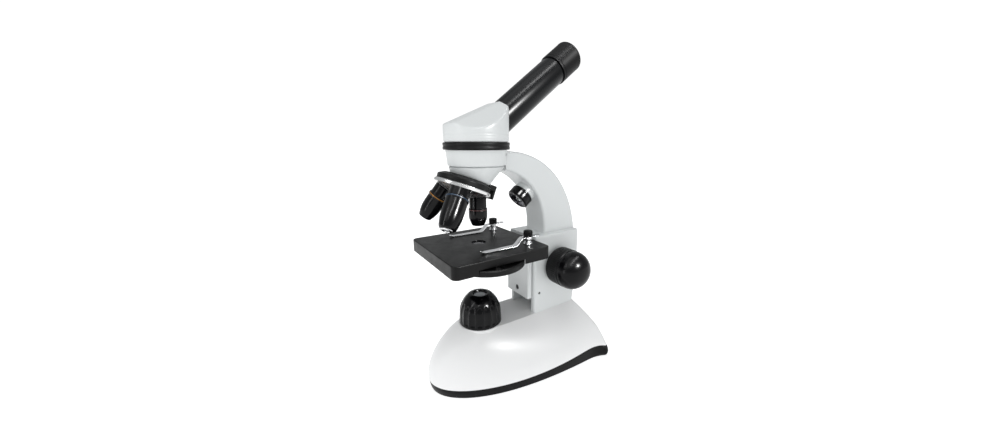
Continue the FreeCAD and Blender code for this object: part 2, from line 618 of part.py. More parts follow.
def make_arm():
    collar = Part.makeCone(COLLAR_R_BOTTOM, COLLAR_R, COLLAR_TOP - COLLAR_BOTTOM, vec(0, 0, COLLAR_BOTTOM))
    blank = arm_blank()
    below = box(-30, 30, -30, 30, COLLAR_BOTTOM - 10, COLLAR_BOTTOM)
    under_seat = blank.cut(Part.makeCylinder(COLLAR_R_BOTTOM, 10, vec(0, 0, COLLAR_BOTTOM - 10)).common(below))
    arm = under_seat.fuse(collar).removeSplitter()
    holes = [rod(COLLAR_BORE_R, vec(0, 0, 180), 40)]
    holes += [rod(2.5, vec(0, y, 120), 20) for y in ARM_SCREW_Y]
    for angle in COLLAR_SCREW_ANGLES:
        direction = vec(math.cos(math.radians(angle)), math.sin(math.radians(angle)), 0)
        holes.append(rod(1.3, direction * (COLLAR_BORE_R - 1) + vec(0, 0, COLLAR_SCREW_Z), 10, direction))
    save("arm", cut(arm, holes))


def grub_screw(start, axis, length):
    return rod(1.3, start, length, axis).cut(rod(0.7, start + axis * (length - 1.5), 3.0, axis))


def make_set_screws():
    screws = [grub_screw(vec(CHANNEL_HALF_WIDTH + 0.2, 54.3, 70.5), X_RIGHT, 3.8)]
    for angle in COLLAR_SCREW_ANGLES:
        direction = vec(math.cos(math.radians(angle)), math.sin(math.radians(angle)), 0)
        screws.append(grub_screw(direction * (COLLAR_BORE_R + 0.1) + vec(0, 0, COLLAR_SCREW_Z), direction, 5.6))
    save("set_screws", Part.makeCompound(screws))


def make_arm_screws():
    low = COLUMN_TOP - LEDGE_THICKNESS
    profile = [(0, low - 4), (4.2, low - 4), (4.2, low), (2.5, low), (2.5, 139.0), (0, 139.0)]
    save("arm_screws", Part.makeCompound([turned(profile, vec(0, y, 0)) for y in ARM_SCREW_Y]))


def tilted_circle(radius, above_centre, rearwards):
    centre = TURRET_C - TURRET_DOWN * above_centre + TURRET_REAR * rearwards
    return Part.Wire(Part.Circle(centre, TURRET_DOWN, radius).toShape())


def make_nosepiece_mount():
    cone_top = COLLAR_BOTTOM - COLLAR_GROOVE
    top = Part.Wire(Part.Circle(vec(0, 0, cone_top), vec(0, 0, -1), 23.6).toShape())
    cone = Part.makeLoft([top, tilted_circle(17.0, TURRET_BASE_TOP, 4.4)], True, True)
    neck = rod(22.0, vec(0, 0, cone_top - 0.5), COLLAR_GROOVE + 0.5)
    spigot = rod(COLLAR_BORE_R, vec(0, 0, cone_top), 4.0)
    mount = fuse([cone, neck, spigot])
    save("nosepiece_mount", mount.cut(rod(6.5, vec(0, 0, 160), 50)))


def turret_base_disc():
    thickness = TURRET_BASE_TOP - 2.4
    profile = [(0, 0), (18.0, 0), (21.9, 2.0), (22.6, 3.0, 22.45, 2.4), (22.6, thickness), (0, thickness)]
    return turned(profile, TURRET_C - TURRET_DOWN * TURRET_BASE_TOP, TURRET_DOWN)


def make_turret_base():
    light_path = rod(6.5, vec(0, 0, 160), 50)
    pivot_hole = rod(2.5, TURRET_C - TURRET_DOWN * 7, 6, TURRET_DOWN)
    save("turret_base", cut(turret_base_disc(), [light_path, pivot_hole]))


def make_turret_disc():
    slope = math.tan(TILT)
    shoulder = vec(0, 0, OBJECTIVE_SHOULDER_Z) - TURRET_C
    depth = shoulder.dot(TURRET_DOWN)
    reach = math.sqrt(shoulder.Length ** 2 - depth ** 2)
    edge_depth = depth - (TURRET_R - reach) * slope
    hub_depth = depth + (reach - 6.0) * slope
    profile = [(2.5 + RUNNING_GAP, -2.0), (TURRET_R - 0.6, -2.0), (TURRET_R, -1.4), (TURRET_R, edge_depth),
               (6.0, hub_depth), (2.5 + RUNNING_GAP, hub_depth)]
    disc = turned(profile, TURRET_C, TURRET_DOWN)
    for turn in (0, 120, 240):
        disc = disc.cut(on_turret(rod(6.0, vec(0, 0, OBJECTIVE_SHOULDER_Z - 3), 20), turn))
    save("turret_disc", disc)
    head = [(0, -5.6), (2.5, -5.6), (2.5, hub_depth + 0.2), (5.2, hub_depth + 0.2), (4.6, hub_depth + 2.2),
            (0, hub_depth + 2.6)]
    save("turret_screw", turned(head, TURRET_C, TURRET_DOWN))


def make_detent_spring():
    half = 8.0
    inner = TURRET_R + 1.4
    outer = inner + 2.2
    finger = box(-half, half, inner, outer, -2.0, TURRET_BASE_TOP + 1.4)
    bridge = box(-half, half, 16.0, outer, TURRET_BASE_TOP - 3.0, TURRET_BASE_TOP + 1.4)
    spring = fuse([finger, bridge])
    spring = spring.makeFillet(1.0, [e for e in spring.Edges if e.BoundBox.YMin > outer - 0.01])
    spring.Placement = FreeCAD.Placement(TURRET_C, FreeCAD.Rotation(X_RIGHT, -TURRET_TILT))
    mount_room = rod(17.6, TURRET_C - TURRET_DOWN * (TURRET_BASE_TOP + 3) + TURRET_REAR * 4.4, 5, TURRET_DOWN)
    save("detent_spring", cut(spring, [turret_base_disc(), mount_room]))


def on_turret(shape, turn):
    moved = shape.copy()
    moved.rotate(TURRET_C, TURRET_DOWN, turn)
    return moved


# Each barrel is given as (radius, distance below the shoulder), with its colour band and tip lens.
OBJECTIVES = {
    "4x": {"turn": 0, "band": (7.2, 10.0, 10.9), "tip": 24.4, "lens": 4.0,
           "barrel": [(7.4, 0), (7.4, 9.2), (8.1, 9.9), (8.1, 16.0), (7.3, 20.0, 7.9, 18.0), (5.4, 24.4)]},
    "10x": {"turn": 240, "band": (8.0, 9.7, 10.5), "tip": 31.4, "lens": 3.0,
            "barrel": [(8.0, 0), (8.0, 8.6), (8.8, 9.2), (8.8, 11.0), (8.3, 11.6), (8.3, 18.0),
                       (7.0, 27.4, 8.0, 23.0), (5.6, 31.4)]},
    "40x": {"turn": 120, "band": (8.5, 7.3, 8.3), "tip": 34.4, "lens": 2.0,
            "barrel": [(8.4, 0), (8.4, 6.2), (9.3, 6.8), (9.3, 8.8), (8.9, 9.4), (8.9, 17.0),
                       (7.4, 30.4, 8.6, 24.0), (5.4, 33.4, 6.7, 32.2), (3.4, 33.4), (3.0, 34.4)]},
}


def make_objectives():
    top = vec(0, 0, OBJECTIVE_SHOULDER_Z)
    down = vec(0, 0, -1)
    bore_r = 3.2
    lenses = []
    for name, data in OBJECTIVES.items():
        groove_r, band_top, band_bottom = data["band"]
        collar_r = data["barrel"][2][0]
        tip = data["tip"]
        lens_r = data["lens"]
        throat_r = min(bore_r, lens_r)
        profile = [(bore_r, -3.5), (6.0, -3.5), (6.0, 0)] + data["barrel"]
        profile += [(lens_r, tip), (lens_r, tip - 1.5), (throat_r, tip - 2.5)]
        if throat_r < bore_r:
            profile.append((bore_r, tip - 6.0))
        barrel = turned(profile, top, down)
        groove = turned([(groove_r, band_top), (collar_r + 2, band_top), (collar_r + 2, band_bottom),
                         (groove_r, band_bottom)], top, down)
        ring = turned([(groove_r, band_top), (collar_r + 0.05, band_top), (collar_r + 0.05, band_bottom),
                       (groove_r, band_bottom)], top, down)
        save("objective_" + name, on_turret(barrel.cut(groove), data["turn"]))
        save("colour_band_" + name, on_turret(ring, data["turn"]))
        lens = turned([(0, tip - 1.5), (lens_r, tip - 1.5), (lens_r, tip - 0.5), (0, tip - 0.3)], top, down)
        lenses.append(on_turret(lens, data["turn"]))
    save("objective_front_lenses", Part.makeCompound(lenses))


# ---------------------------------------------------------------- head and eyepiece
HEAD_BOTTOM = 206.5
BAND_TOP = 212.3
BAND_R = 27.7
HEAD_R = 27.0
HEAD_FRONT_TOP = 226.0
ROOF_SLOPE = math.tan(math.radians(23.5))
ROOF_HALF_WIDTH = 10.5
SIDE_SLOPE = math.tan(math.radians(52.0))


def head_envelope(drop):
    """The head casting: a drum under a sloping roof with two side facets, cut square to the tube."""
    front = HEAD_FRONT_TOP - drop
    rear_y = 42.0
    rise = ROOF_SLOPE * (rear_y + HEAD_R)
    half = ROOF_HALF_WIDTH
    low = 60.0
    section = [vec(-half - low / SIDE_SLOPE, -HEAD_R, front - low), vec(-half, -HEAD_R, front),
               vec(half, -HEAD_R, front), vec(half + low / SIDE_SLOPE, -HEAD_R, front - low)]
    roof = polygon_face(section).extrude(vec(0, rear_y + HEAD_R, rise))
    drum = rod(HEAD_R, vec(0, 0, BAND_TOP), 60)
    behind = rod(60, TUBE_START, 60, TUBE_AXIS)
    return drum.common(roof).cut(behind)


def make_head_housing():
    core = rod(21.0, vec(0, 0, BAND_TOP - 1), 60)
    floor = rod(21.0, vec(0, 0, BAND_TOP - 1), 2)
    inner = core.common(head_envelope(3.2).fuse(floor))
    bore = rod(TUBE_R, TUBE_START - TUBE_AXIS * TUBE_INSIDE, 60, TUBE_AXIS)
    path = rod(10.5, TUBE_START - TUBE_AXIS * 22, 40, TUBE_AXIS)
    save("head_housing", cut(head_envelope(0.0), [inner, bore, path]))


def make_head_ring():
    profile = [(9.0, 197.5), (18.6, 197.5), (18.6, HEAD_BOTTOM), (27.3, HEAD_BOTTOM), (BAND_R, HEAD_BOTTOM + 0.4),
               (BAND_R, BAND_TOP - 0.4), (27.3, BAND_TOP), (9.0, BAND_TOP)]
    save("head_ring", turned(profile))


def make_prism():
    save("prism", side_extrusion([(-11, BAND_TOP), (11, BAND_TOP), (11, BAND_TOP + 12.0)], 9.0))


def make_eyepiece_tube():
    profile = [(TUBE_BORE_R, -TUBE_INSIDE), (TUBE_R, -TUBE_INSIDE), (TUBE_R, TUBE_LENGTH - 0.5),
               (TUBE_R - 0.5, TUBE_LENGTH), (TUBE_BORE_R, TUBE_LENGTH)]
    save("eyepiece_tube", turned(profile, TUBE_START, TUBE_AXIS))


def make_eyepiece():
    sleeve_r = TUBE_BORE_R - 0.08
    foot = TUBE_LENGTH + 0.3
    top = EYEPIECE_TOP
    profile = [(10.2, 36.0), (sleeve_r, 36.0), (sleeve_r, foot), (EYEPIECE_R, foot), (EYEPIECE_R, top - 3.0),
               (12.6, top, 13.9, top - 0.9), (9.6, top), (8.4, top - 1.6), (8.4, top - 5.0), (10.2, top - 6.0)]
    save("eyepiece_barrel", turned(profile, TUBE_START, TUBE_AXIS))
    eye = [(0, top - 4.8), (8.4, top - 4.8), (8.4, top - 3.0), dome_end(8.4, top - 3.0, 1.1)]
    save("eye_lens", turned(eye, TUBE_START, TUBE_AXIS))
    field = [(0, 38.0), (10.2, 39.0), (10.2, 41.0), (0, 41.0)]
    save("field_lens", turned(field, TUBE_START, TUBE_AXIS))


# ---------------------------------------------------------------- lamps
def make_lower_lamp():
    foot = 51.3
    profile = [(17.0, foot), (LAMP_R, foot), (18.8, foot + 8.5), (10.6, LAMP_TOP - 0.5, 16.2, foot + 19.6),
               (7.4, LAMP_TOP), (6.4, LAMP_TOP - 0.4), (5.8, LAMP_TOP - 1.6), (5.8, LAMP_TOP - 4.4),
               (8.6, LAMP_TOP - 4.4), (17.0, foot + 7.5, 13.8, foot + 18.0)]
    save("lower_lamp_dome", turned(profile))
    lens = [(0, LAMP_TOP - 4.2), (5.8, LAMP_TOP - 4.2), (5.8, LAMP_TOP - 1.8), dome_end(5.8, LAMP_TOP - 1.8, 0.9)]
    save("lower_lamp_lens", turned(lens))
    return turned([(0, foot), (16.5, foot), (16.5, foot + 1.6), (2.6, foot + 1.6), (2.6, foot + 5.0),
                   dome_end(2.6, foot + 5.0, 2.0)])


def make_upper_lamp():
    length = UPPER_LAMP_LENGTH
    floor = 3.0
    seat = length - 3.4
    back = UPPER_LAMP_FRONT - LAMP_AIM * length
    save("upper_lamp_mount", rod(10.0, back - LAMP_AIM * 12, 12, LAMP_AIM).cut(arm_blank()))
    profile = [(0, 0), (UPPER_LAMP_R - 0.6, 0), (UPPER_LAMP_R, 0.6), (UPPER_LAMP_R, length - 1.0),
               (UPPER_LAMP_R - 1.0, length), (8.6, length), (4.8, seat), (4.0, seat), (4.0, floor), (0, floor)]
    save("upper_lamp_housing", turned(profile, back, LAMP_AIM))
    lens = [(0, floor + 2.0), (4.0, floor + 2.0), (4.0, seat), dome_end(4.0, seat, 2.6)]
    save("upper_lamp_lens", turned(lens, back, LAMP_AIM))
    led = [(0, floor), (4.0, floor), (4.0, floor + 1.4), (2.5, floor + 1.4), (2.5, floor + 2.0), (0, floor + 2.0)]
    return turned(led, back, LAMP_AIM)


def make_lamps():
    save("lamp_leds", Part.makeCompound([make_lower_lamp(), make_upper_lamp()]))


def main():
    os.makedirs("parts", exist_ok=True)
    for make in (make_base_shell, make_base_pan, make_rubber_feet, make_base_screws, make_battery_door,
                 make_battery_holder, make_control_board, make_dc_socket, make_switch,
                 make_focus_housing, make_column_bolts, make_bushings, make_pinion,
                 make_focus_shaft, make_focus_knobs, make_stage_slide, make_focus_rack, make_stage_plate,
                 make_condenser_lens, make_stage_screws, make_disc_diaphragm, make_clip_posts, make_clips,
                 make_arm, make_set_screws, make_arm_screws, make_nosepiece_mount, make_turret_base,
                 make_turret_disc, make_detent_spring, make_objectives, make_head_housing, make_head_ring,
                 make_prism, make_eyepiece_tube, make_eyepiece, make_lamps):
        make()


main()
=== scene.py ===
import json
import math

import bpy
from mathutils import Matrix, Vector

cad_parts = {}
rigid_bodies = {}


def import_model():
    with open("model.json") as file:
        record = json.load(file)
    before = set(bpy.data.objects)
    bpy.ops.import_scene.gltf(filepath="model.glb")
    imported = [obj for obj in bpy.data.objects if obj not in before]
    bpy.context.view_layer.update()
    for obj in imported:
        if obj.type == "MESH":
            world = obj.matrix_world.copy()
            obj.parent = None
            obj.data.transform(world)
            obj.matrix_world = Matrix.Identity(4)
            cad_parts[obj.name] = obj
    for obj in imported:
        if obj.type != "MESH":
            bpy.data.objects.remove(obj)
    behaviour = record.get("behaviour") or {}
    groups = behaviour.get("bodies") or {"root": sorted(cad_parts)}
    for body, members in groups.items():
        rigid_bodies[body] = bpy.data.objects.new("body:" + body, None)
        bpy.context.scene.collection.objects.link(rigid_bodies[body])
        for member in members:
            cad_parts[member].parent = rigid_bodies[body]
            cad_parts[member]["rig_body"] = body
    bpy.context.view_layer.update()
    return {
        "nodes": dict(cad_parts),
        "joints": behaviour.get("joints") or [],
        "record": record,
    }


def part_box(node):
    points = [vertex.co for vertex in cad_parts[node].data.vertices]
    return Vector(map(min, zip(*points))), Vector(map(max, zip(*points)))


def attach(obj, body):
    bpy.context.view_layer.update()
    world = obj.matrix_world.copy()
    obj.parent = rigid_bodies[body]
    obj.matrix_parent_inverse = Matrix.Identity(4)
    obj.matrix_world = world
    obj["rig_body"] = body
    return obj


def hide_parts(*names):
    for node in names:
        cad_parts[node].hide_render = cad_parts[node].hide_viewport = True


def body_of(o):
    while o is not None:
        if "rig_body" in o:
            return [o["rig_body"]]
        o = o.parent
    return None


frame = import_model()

MM = 0.001
X_RIGHT = Vector((1, 0, 0))
Z_UP = Vector((0, 0, 1))

# ---------------------------------------------------------------- places read from the frame
JOINTS = {j["name"]: j for j in frame["joints"]}
NODES = frame["nodes"]


def middle(node):
    low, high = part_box(node)
    return (low + high) / 2


DOME = middle("lower_lamp_dome")
AXIS_Y = DOME.y                                     # the optical axis stands over the lower lamp
TURRET_C = Vector(JOINTS["turret_turn"]["pos_m"])
TURRET_DOWN = Vector(JOINTS["turret_turn"]["axis"]).normalized()
if TURRET_DOWN.z > 0:
    TURRET_DOWN.negate()
TUBE_AXIS = Vector(JOINTS["eyepiece_slide"]["axis"]).normalized()
SHAFT = Vector(JOINTS["focus_turn"]["pos_m"])
SLOTS = {row["node"]: row["material_slot"] for row in frame["record"]["subparts"]}
SHOULDER_Z = 166.5                                  # the objectives screw in at this height, in mm
TUBE_FOOT = Vector((0, AXIS_Y + 26.0 * MM, 234.1 * MM))


# ---------------------------------------------------------------- camera
FOCAL_SHARE = 0.3255            # focal length over the picture's width
SENSOR_MM = 36.0
EYE = Vector((0.2442, AXIS_Y - 0.1329, 0.210))
LOOK_AZIMUTH = math.radians(55.237)
LOOK_DOWN = math.radians(12.09)
SHIFT_X = -0.0127


def make_camera():
    data = bpy.data.cameras.new("camera")
    data.sensor_width = SENSOR_MM
    data.lens = FOCAL_SHARE * SENSOR_MM
    data.shift_x = SHIFT_X
    data.clip_start = 0.01
    camera = bpy.data.objects.new("camera", data)
    camera.location = EYE
    level = math.cos(LOOK_DOWN)
    gaze = Vector((-math.sin(LOOK_AZIMUTH) * level, math.cos(LOOK_AZIMUTH) * level, -math.sin(LOOK_DOWN)))
    camera.rotation_euler = gaze.to_track_quat("-Z", "Y").to_euler()
    bpy.context.scene.collection.objects.link(camera)
    bpy.context.scene.camera = camera


make_camera()


# ---------------------------------------------------------------- outlines
GENTLE_TURN = math.radians(22)


def arc(start, through, end, steps=10):
    """Points of the circular arc from start to end by way of through, without its first point."""
    ax, ay = start
    bx, by = through
    cx, cy = end
    d = 2 * (ax * (by - cy) + bx * (cy - ay) + cx * (ay - by))
    a2 = ax * ax + ay * ay
    b2 = bx * bx + by * by
    c2 = cx * cx + cy * cy
    ux = (a2 * (by - cy) + b2 * (cy - ay) + c2 * (ay - by)) / d
    uy = (a2 * (cx - bx) + b2 * (ax - cx) + c2 * (bx - ax)) / d
    radius = math.hypot(ax - ux, ay - uy)
    a0 = math.atan2(ay - uy, ax - ux)
    a1 = math.atan2(cy - uy, cx - ux)
    am = math.atan2(by - uy, bx - ux)
    sweep = (a1 - a0) % (2 * math.pi)
    if (am - a0) % (2 * math.pi) > sweep:
        sweep -= 2 * math.pi
    angles = [a0 + sweep * k / steps for k in range(1, steps + 1)]
    return [(ux + radius * math.cos(a), uy + radius * math.sin(a)) for a in angles]


def soften(points, radius, closed=True, steps=3):
    """The outline with its corners rounded; gentle turns and points on the turning axis stay as they are."""
    count = len(points)
    result = []
    for i, here in enumerate(points):
        last = not closed and i in (0, count - 1)
        before = Vector(points[i - 1])
        after = Vector(points[(i + 1) % count])
        corner = Vector(here)
        into = before - corner
        out = after - corner
        if last or here[0] < 1e-9 or into.length < 1e-9 or out.length < 1e-9:
            result.append(here)
            continue
        turn = math.pi - into.angle(out)
        if turn < GENTLE_TURN:
            result.append(here)
            continue
        reach = min(radius * math.tan(turn / 2), 0.45 * into.length, 0.45 * out.length)
        start = corner + into.normalized() * reach
        end = corner + out.normalized() * reach
        for k in range(steps + 1):
            t = k / steps
            p = start * (1 - t) ** 2 + corner * 2 * t * (1 - t) + end * t ** 2
            result.append((p.x, p.y))
    return result


# ---------------------------------------------------------------- mesh makers
SHARP = math.radians(38)


def smooth_faces(mesh):
    for polygon in mesh.polygons:
        polygon.use_smooth = True


def settle(piece):
    """Turns the piece's modifiers into plain mesh, and returns that mesh."""
    bpy.context.view_layer.update()
    graph = bpy.context.evaluated_depsgraph_get()
    made = bpy.data.meshes.new_from_object(piece.evaluated_get(graph))
    piece.modifiers.clear()
    piece.data = made
    return made


def add_mesh(name, points, faces, uvs=None):
    mesh = bpy.data.meshes.new(name)
    mesh.from_pydata([tuple(p) for p in points], [], faces)
    if uvs is not None:
        layer = mesh.uv_layers.new(name="turned")
        flat = [c for face in uvs for uv in face for c in uv]
        layer.data.foreach_set("uv", flat)
    mesh.validate()
    smooth_faces(mesh)
    mesh.set_sharp_from_angle(angle=SHARP)
    piece = bpy.data.objects.new(name, mesh)
    bpy.context.scene.collection.objects.link(piece)
    return piece


def upright(start, axis):
    """The matrix that stands a Z-up shape on start, along axis, with its local X kept level."""
    axis = Vector(axis).normalized()
    side = axis.cross(Z_UP)
    side = X_RIGHT.copy() if side.length < 1e-6 else side.normalized()
    front = axis.cross(side).normalized()
    turn = Matrix((side, front, axis)).transposed()
    return Matrix.Translation(start) @ turn.to_4x4()


def lathe(name, outline, start, axis, segments=96, shape=None, closed=True):
    """A turned shape from (radius, height) points in mm; closed joins the last point to the first."""
    place = upright(start, axis)
    outline = [(max(r, 0.0), h) for r, h in outline]
    rings = []
    points = []
    run = [0.0]
    for (r0, h0), (r1, h1) in zip(outline, outline[1:] + outline[:1]):
        run.append(run[-1] + math.hypot(r1 - r0, h1 - h0))
    for r, h in outline:
        if r < 1e-6:
            rings.append([len(points)] * segments)
            points.append(place @ Vector((0, 0, h * MM)))
            continue
        ring = []
        for k in range(segments):
            angle = 2 * math.pi * k / segments
            rr = shape(r, h, angle) if shape else r
            ring.append(len(points))
            points.append(place @ Vector((rr * math.cos(angle) * MM, rr * math.sin(angle) * MM, h * MM)))
        rings.append(ring)
    faces = []
    uvs = []
    spans = len(outline) if closed else len(outline) - 1
    for i in range(spans):
        a = rings[i]
        b = rings[(i + 1) % len(outline)]
        if a[0] == a[1] and b[0] == b[1]:
            continue
        for k in range(segments):
            k2 = (k + 1) % segments
            quad = [(a[k], k, run[i]), (a[k2], k + 1, run[i]),
                    (b[k2], k + 1, run[i + 1]), (b[k], k, run[i + 1])]
            corners = []
            for corner in quad:
                if corner[0] not in [c[0] for c in corners]:
                    corners.append(corner)
            faces.append([c[0] for c in corners])
            uvs.append([(c[1] / segments, c[2] * MM) for c in corners])
    return add_mesh(name, points, faces, uvs)


def fix_normals(piece):
    bpy.context.view_layer.objects.active = piece
    bpy.ops.object.select_all(action="DESELECT")
    piece.select_set(True)
    bpy.ops.object.mode_set(mode="EDIT")
    bpy.ops.mesh.select_all(action="SELECT")
    bpy.ops.mesh.normals_make_consistent(inside=False)
    bpy.ops.object.mode_set(mode="OBJECT")


def dress(piece, body, material, replaces=()):
    """Gives a new piece its material, its CAD body, and the CAD nodes that it stands for."""
    piece.data.materials.clear()
    piece.data.materials.append(material)
    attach(piece, body)
    if replaces:
        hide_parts(*replaces)


def cast_copy(name, node, voxel, smooth_steps):
    """A copy of a CAD node in an even net of small faces, for a painted casting."""
    piece = bpy.data.objects.new(name, NODES[node].data.copy())
    bpy.context.scene.collection.objects.link(piece)
    recast(piece, voxel, smooth_steps)
    return piece


def recast(piece, voxel, smooth_steps):
    """Covers the piece with an even net of small faces and rounds its edges."""
    remesh = piece.modifiers.new("grain", "REMESH")
    remesh.mode = "VOXEL"
    remesh.voxel_size = voxel
    smooth = piece.modifiers.new("soften", "SMOOTH")
    smooth.factor = 0.5
    smooth.iterations = smooth_steps
    smooth_faces(settle(piece))


# ---------------------------------------------------------------- materials
GRAIN_HEIGHT = 0.0002         # metres, before the strength of the bump
LINE_HEIGHT = 0.00005
LINES_PER_METRE = 9000.0
COAT_ROUGHNESS = 0.06
GLASS_IOR = 1.5
PURE_WHITE = (1.0, 1.0, 1.0, 1.0)


def fill_sockets(node, values):
    """Sets inputs of a shader node by their names."""
    for name, value in values.items():
        node.inputs[name].default_value = value


class Nodes:
    """Small helper that adds and links shader nodes in one material."""

    def __init__(self, name):
        self.material = bpy.data.materials.new(name)
        self.material.use_nodes = True
        self.tree = self.material.node_tree
        self.shader = self.tree.nodes["Principled BSDF"]

    def add(self, kind, sockets=None, **settings):
        node = self.tree.nodes.new(kind)
        for key, value in settings.items():
            setattr(node, key, value)
        fill_sockets(node, sockets or {})
        return node

    def link(self, source, target):
        self.tree.links.new(source, target)

    def place(self):
        return self.add("ShaderNodeTexCoord").outputs["Object"]

    def noise(self, scale, detail=3.0, rough=0.5, vector=None):
        node = self.add("ShaderNodeTexNoise", {"Scale": scale, "Detail": detail, "Roughness": rough})
        self.link(vector or self.place(), node.inputs["Vector"])
        return node.outputs["Fac"]

    def spread(self, value, low, high):
        """Maps 0.3..0.7 of a noise onto low..high."""
        node = self.add("ShaderNodeMapRange",
                        {"From Min": 0.3, "From Max": 0.7, "To Min": low, "To Max": high})
        self.link(value, node.inputs["Value"])
        return node.outputs["Result"]

    def blend_colours(self, factor, first, second):
        node = self.add("ShaderNodeMix", data_type="RGBA")
        self.link(factor, node.inputs["Factor"])
        for socket, colour in ((node.inputs[6], first), (node.inputs[7], second)):
            if isinstance(colour, tuple):
                socket.default_value = (*colour, 1.0)
            else:
                self.link(colour, socket)
        return node.outputs[2]

    def edge_wear(self, start, end):
        """0 on flats, 1 on convex edges."""
        geometry = self.add("ShaderNodeNewGeometry")
        node = self.add("ShaderNodeMapRange", {"From Min": start, "From Max": end})
        self.link(geometry.outputs["Pointiness"], node.inputs["Value"])
        return node.outputs["Result"]

    def turned_lines(self, per_metre):
        """Fine lathe lines, from the second UV coordinate of a turned piece."""
        uv = self.add("ShaderNodeUVMap", uv_map="turned")
        split = self.add("ShaderNodeSeparateXYZ")
        self.link(uv.outputs["UV"], split.inputs["Vector"])
        join = self.add("ShaderNodeCombineXYZ")
        self.link(split.outputs["Y"], join.inputs["Y"])
        return self.noise(per_metre, 2.0, 0.6, join.outputs["Vector"])

    def bump(self, height, strength, distance, before=None):
        node = self.add("ShaderNodeBump", {"Strength": strength, "Distance": distance})
        self.link(height, node.inputs["Height"])
        if before:
            self.link(before, node.inputs["Normal"])
        return node.outputs["Normal"]


def shade(name, colour, roughness, metallic=0.0, coat=0.0, mottle=0.05, grain=(900.0, 0.08), lines=0.0,
          worn=None, specular=0.5, rough_spread=0.2, smudge=45.0):
    """A solid finish with colour mottle, uneven gloss, fine grain, lathe lines and edge wear."""
    made = Nodes(name)
    shader = made.shader
    low = tuple(max(0.0, c * (1 - mottle)) for c in colour)
    high = tuple(min(1.0, c * (1 + mottle)) for c in colour)
    tint = made.blend_colours(made.noise(smudge, 4.0), low, high)
    if worn:
        wear_colour, start, end = worn
        patches = made.add("ShaderNodeMath", operation="MULTIPLY")
        made.link(made.edge_wear(start, end), patches.inputs[0])
        made.link(made.spread(made.noise(220.0, 5.0, 0.65), 0.0, 1.0), patches.inputs[1])
        tint = made.blend_colours(patches.outputs["Value"], tint, wear_colour)
    made.link(tint, shader.inputs["Base Color"])
    gloss = made.spread(made.noise(smudge * 2.2, 6.0, 0.6), roughness * (1 - rough_spread),
                        roughness * (1 + rough_spread))
    made.link(gloss, shader.inputs["Roughness"])
    fill_sockets(shader, {"Metallic": metallic, "Specular IOR Level": specular, "Coat Weight": coat,
                          "Coat Roughness": COAT_ROUGHNESS})
    grain_scale, grain_strength = grain
    normal = made.bump(made.noise(grain_scale), grain_strength, GRAIN_HEIGHT)
    if lines:
        normal = made.bump(made.turned_lines(LINES_PER_METRE), lines, LINE_HEIGHT, normal)
    made.link(normal, shader.inputs["Normal"])
    return made.material


def clear_glass(name, tint, roughness=0.02, specular=0.5):
    made = Nodes(name)
    shader = made.shader
    darker = tuple(c * 0.93 for c in tint)
    made.link(made.blend_colours(made.noise(120.0), darker, tint), shader.inputs["Base Color"])
    made.link(made.spread(made.noise(400.0, 5.0), roughness, roughness * 2.5), shader.inputs["Roughness"])
    fill_sockets(shader, {"Transmission Weight": 0.9, "Specular IOR Level": specular, "IOR": GLASS_IOR})
    made.link(made.bump(made.noise(300.0), 0.02, GRAIN_HEIGHT), shader.inputs["Normal"])
    return made.material


WHITE_ENAMEL = shade("white_enamel", (0.68, 0.70, 0.70), 0.34, coat=0.04, mottle=0.010, grain=(1100.0, 0.04),
                     rough_spread=0.06, specular=0.25, worn=((0.55, 0.56, 0.55), 0.66, 0.85))
WHITE_SHELL = shade("white_shell", (0.82, 0.82, 0.82), 0.38, mottle=0.008, grain=(1500.0, 0.03),
                    rough_spread=0.06, specular=0.2, worn=((0.66, 0.67, 0.66), 0.66, 0.85))
BLACK_GLOSS = shade("black_gloss", (0.0015, 0.0015, 0.002), 0.17, mottle=0.3, grain=(900.0, 0.015),
                    specular=0.16, worn=((0.02, 0.02, 0.02), 0.58, 0.72))
BLACK_PLASTIC = shade("black_plastic", (0.002, 0.002, 0.0025), 0.40, mottle=0.25, grain=(1600.0, 0.03),
                      rough_spread=0.06, specular=0.12, worn=((0.02, 0.02, 0.02), 0.74, 0.88))
BLACK_ENAMEL = shade("black_enamel", (0.006, 0.006, 0.006), 0.36, mottle=0.25, grain=(2200.0, 0.20),
                     specular=0.13, worn=((0.03, 0.03, 0.03), 0.57, 0.72))
BLACK_ANODISED = shade("black_anodised", (0.002, 0.003, 0.004), 0.27, mottle=0.2, grain=(3000.0, 0.10),
                       specular=0.15, worn=((0.04, 0.04, 0.05), 0.58, 0.75))
KNOB_BLACK = shade("knob_black", (0.0015, 0.0015, 0.002), 0.24, mottle=0.3, grain=(900.0, 0.01),
                   specular=0.15, smudge=70.0, worn=((0.02, 0.02, 0.02), 0.70, 0.85))
OBJECTIVE_BLACK = shade("objective_black", (0.0015, 0.0015, 0.002), 0.17, mottle=0.25, grain=(900.0, 0.012),
                        lines=0.01, specular=0.18, worn=((0.03, 0.03, 0.03), 0.74, 0.88))
TUBE_BLACK = shade("tube_black", (0.0015, 0.002, 0.003), 0.27, mottle=0.25, grain=(700.0, 0.008),
                   rough_spread=0.04, specular=0.16, worn=((0.03, 0.03, 0.04), 0.78, 0.92))
SILVER = shade("silver_metal", (0.62, 0.62, 0.62), 0.26, metallic=1.0, mottle=0.05, grain=(2500.0, 0.10))
CHROME = shade("chrome", (0.74, 0.74, 0.75), 0.16, metallic=1.0, mottle=0.03, grain=(1800.0, 0.05))
STEEL = shade("steel", (0.45, 0.45, 0.46), 0.34, metallic=1.0, mottle=0.08, grain=(3200.0, 0.20))
STEEL_BLACK = shade("steel_black", (0.02, 0.02, 0.02), 0.40, metallic=0.6, mottle=0.2, grain=(3200.0, 0.20))
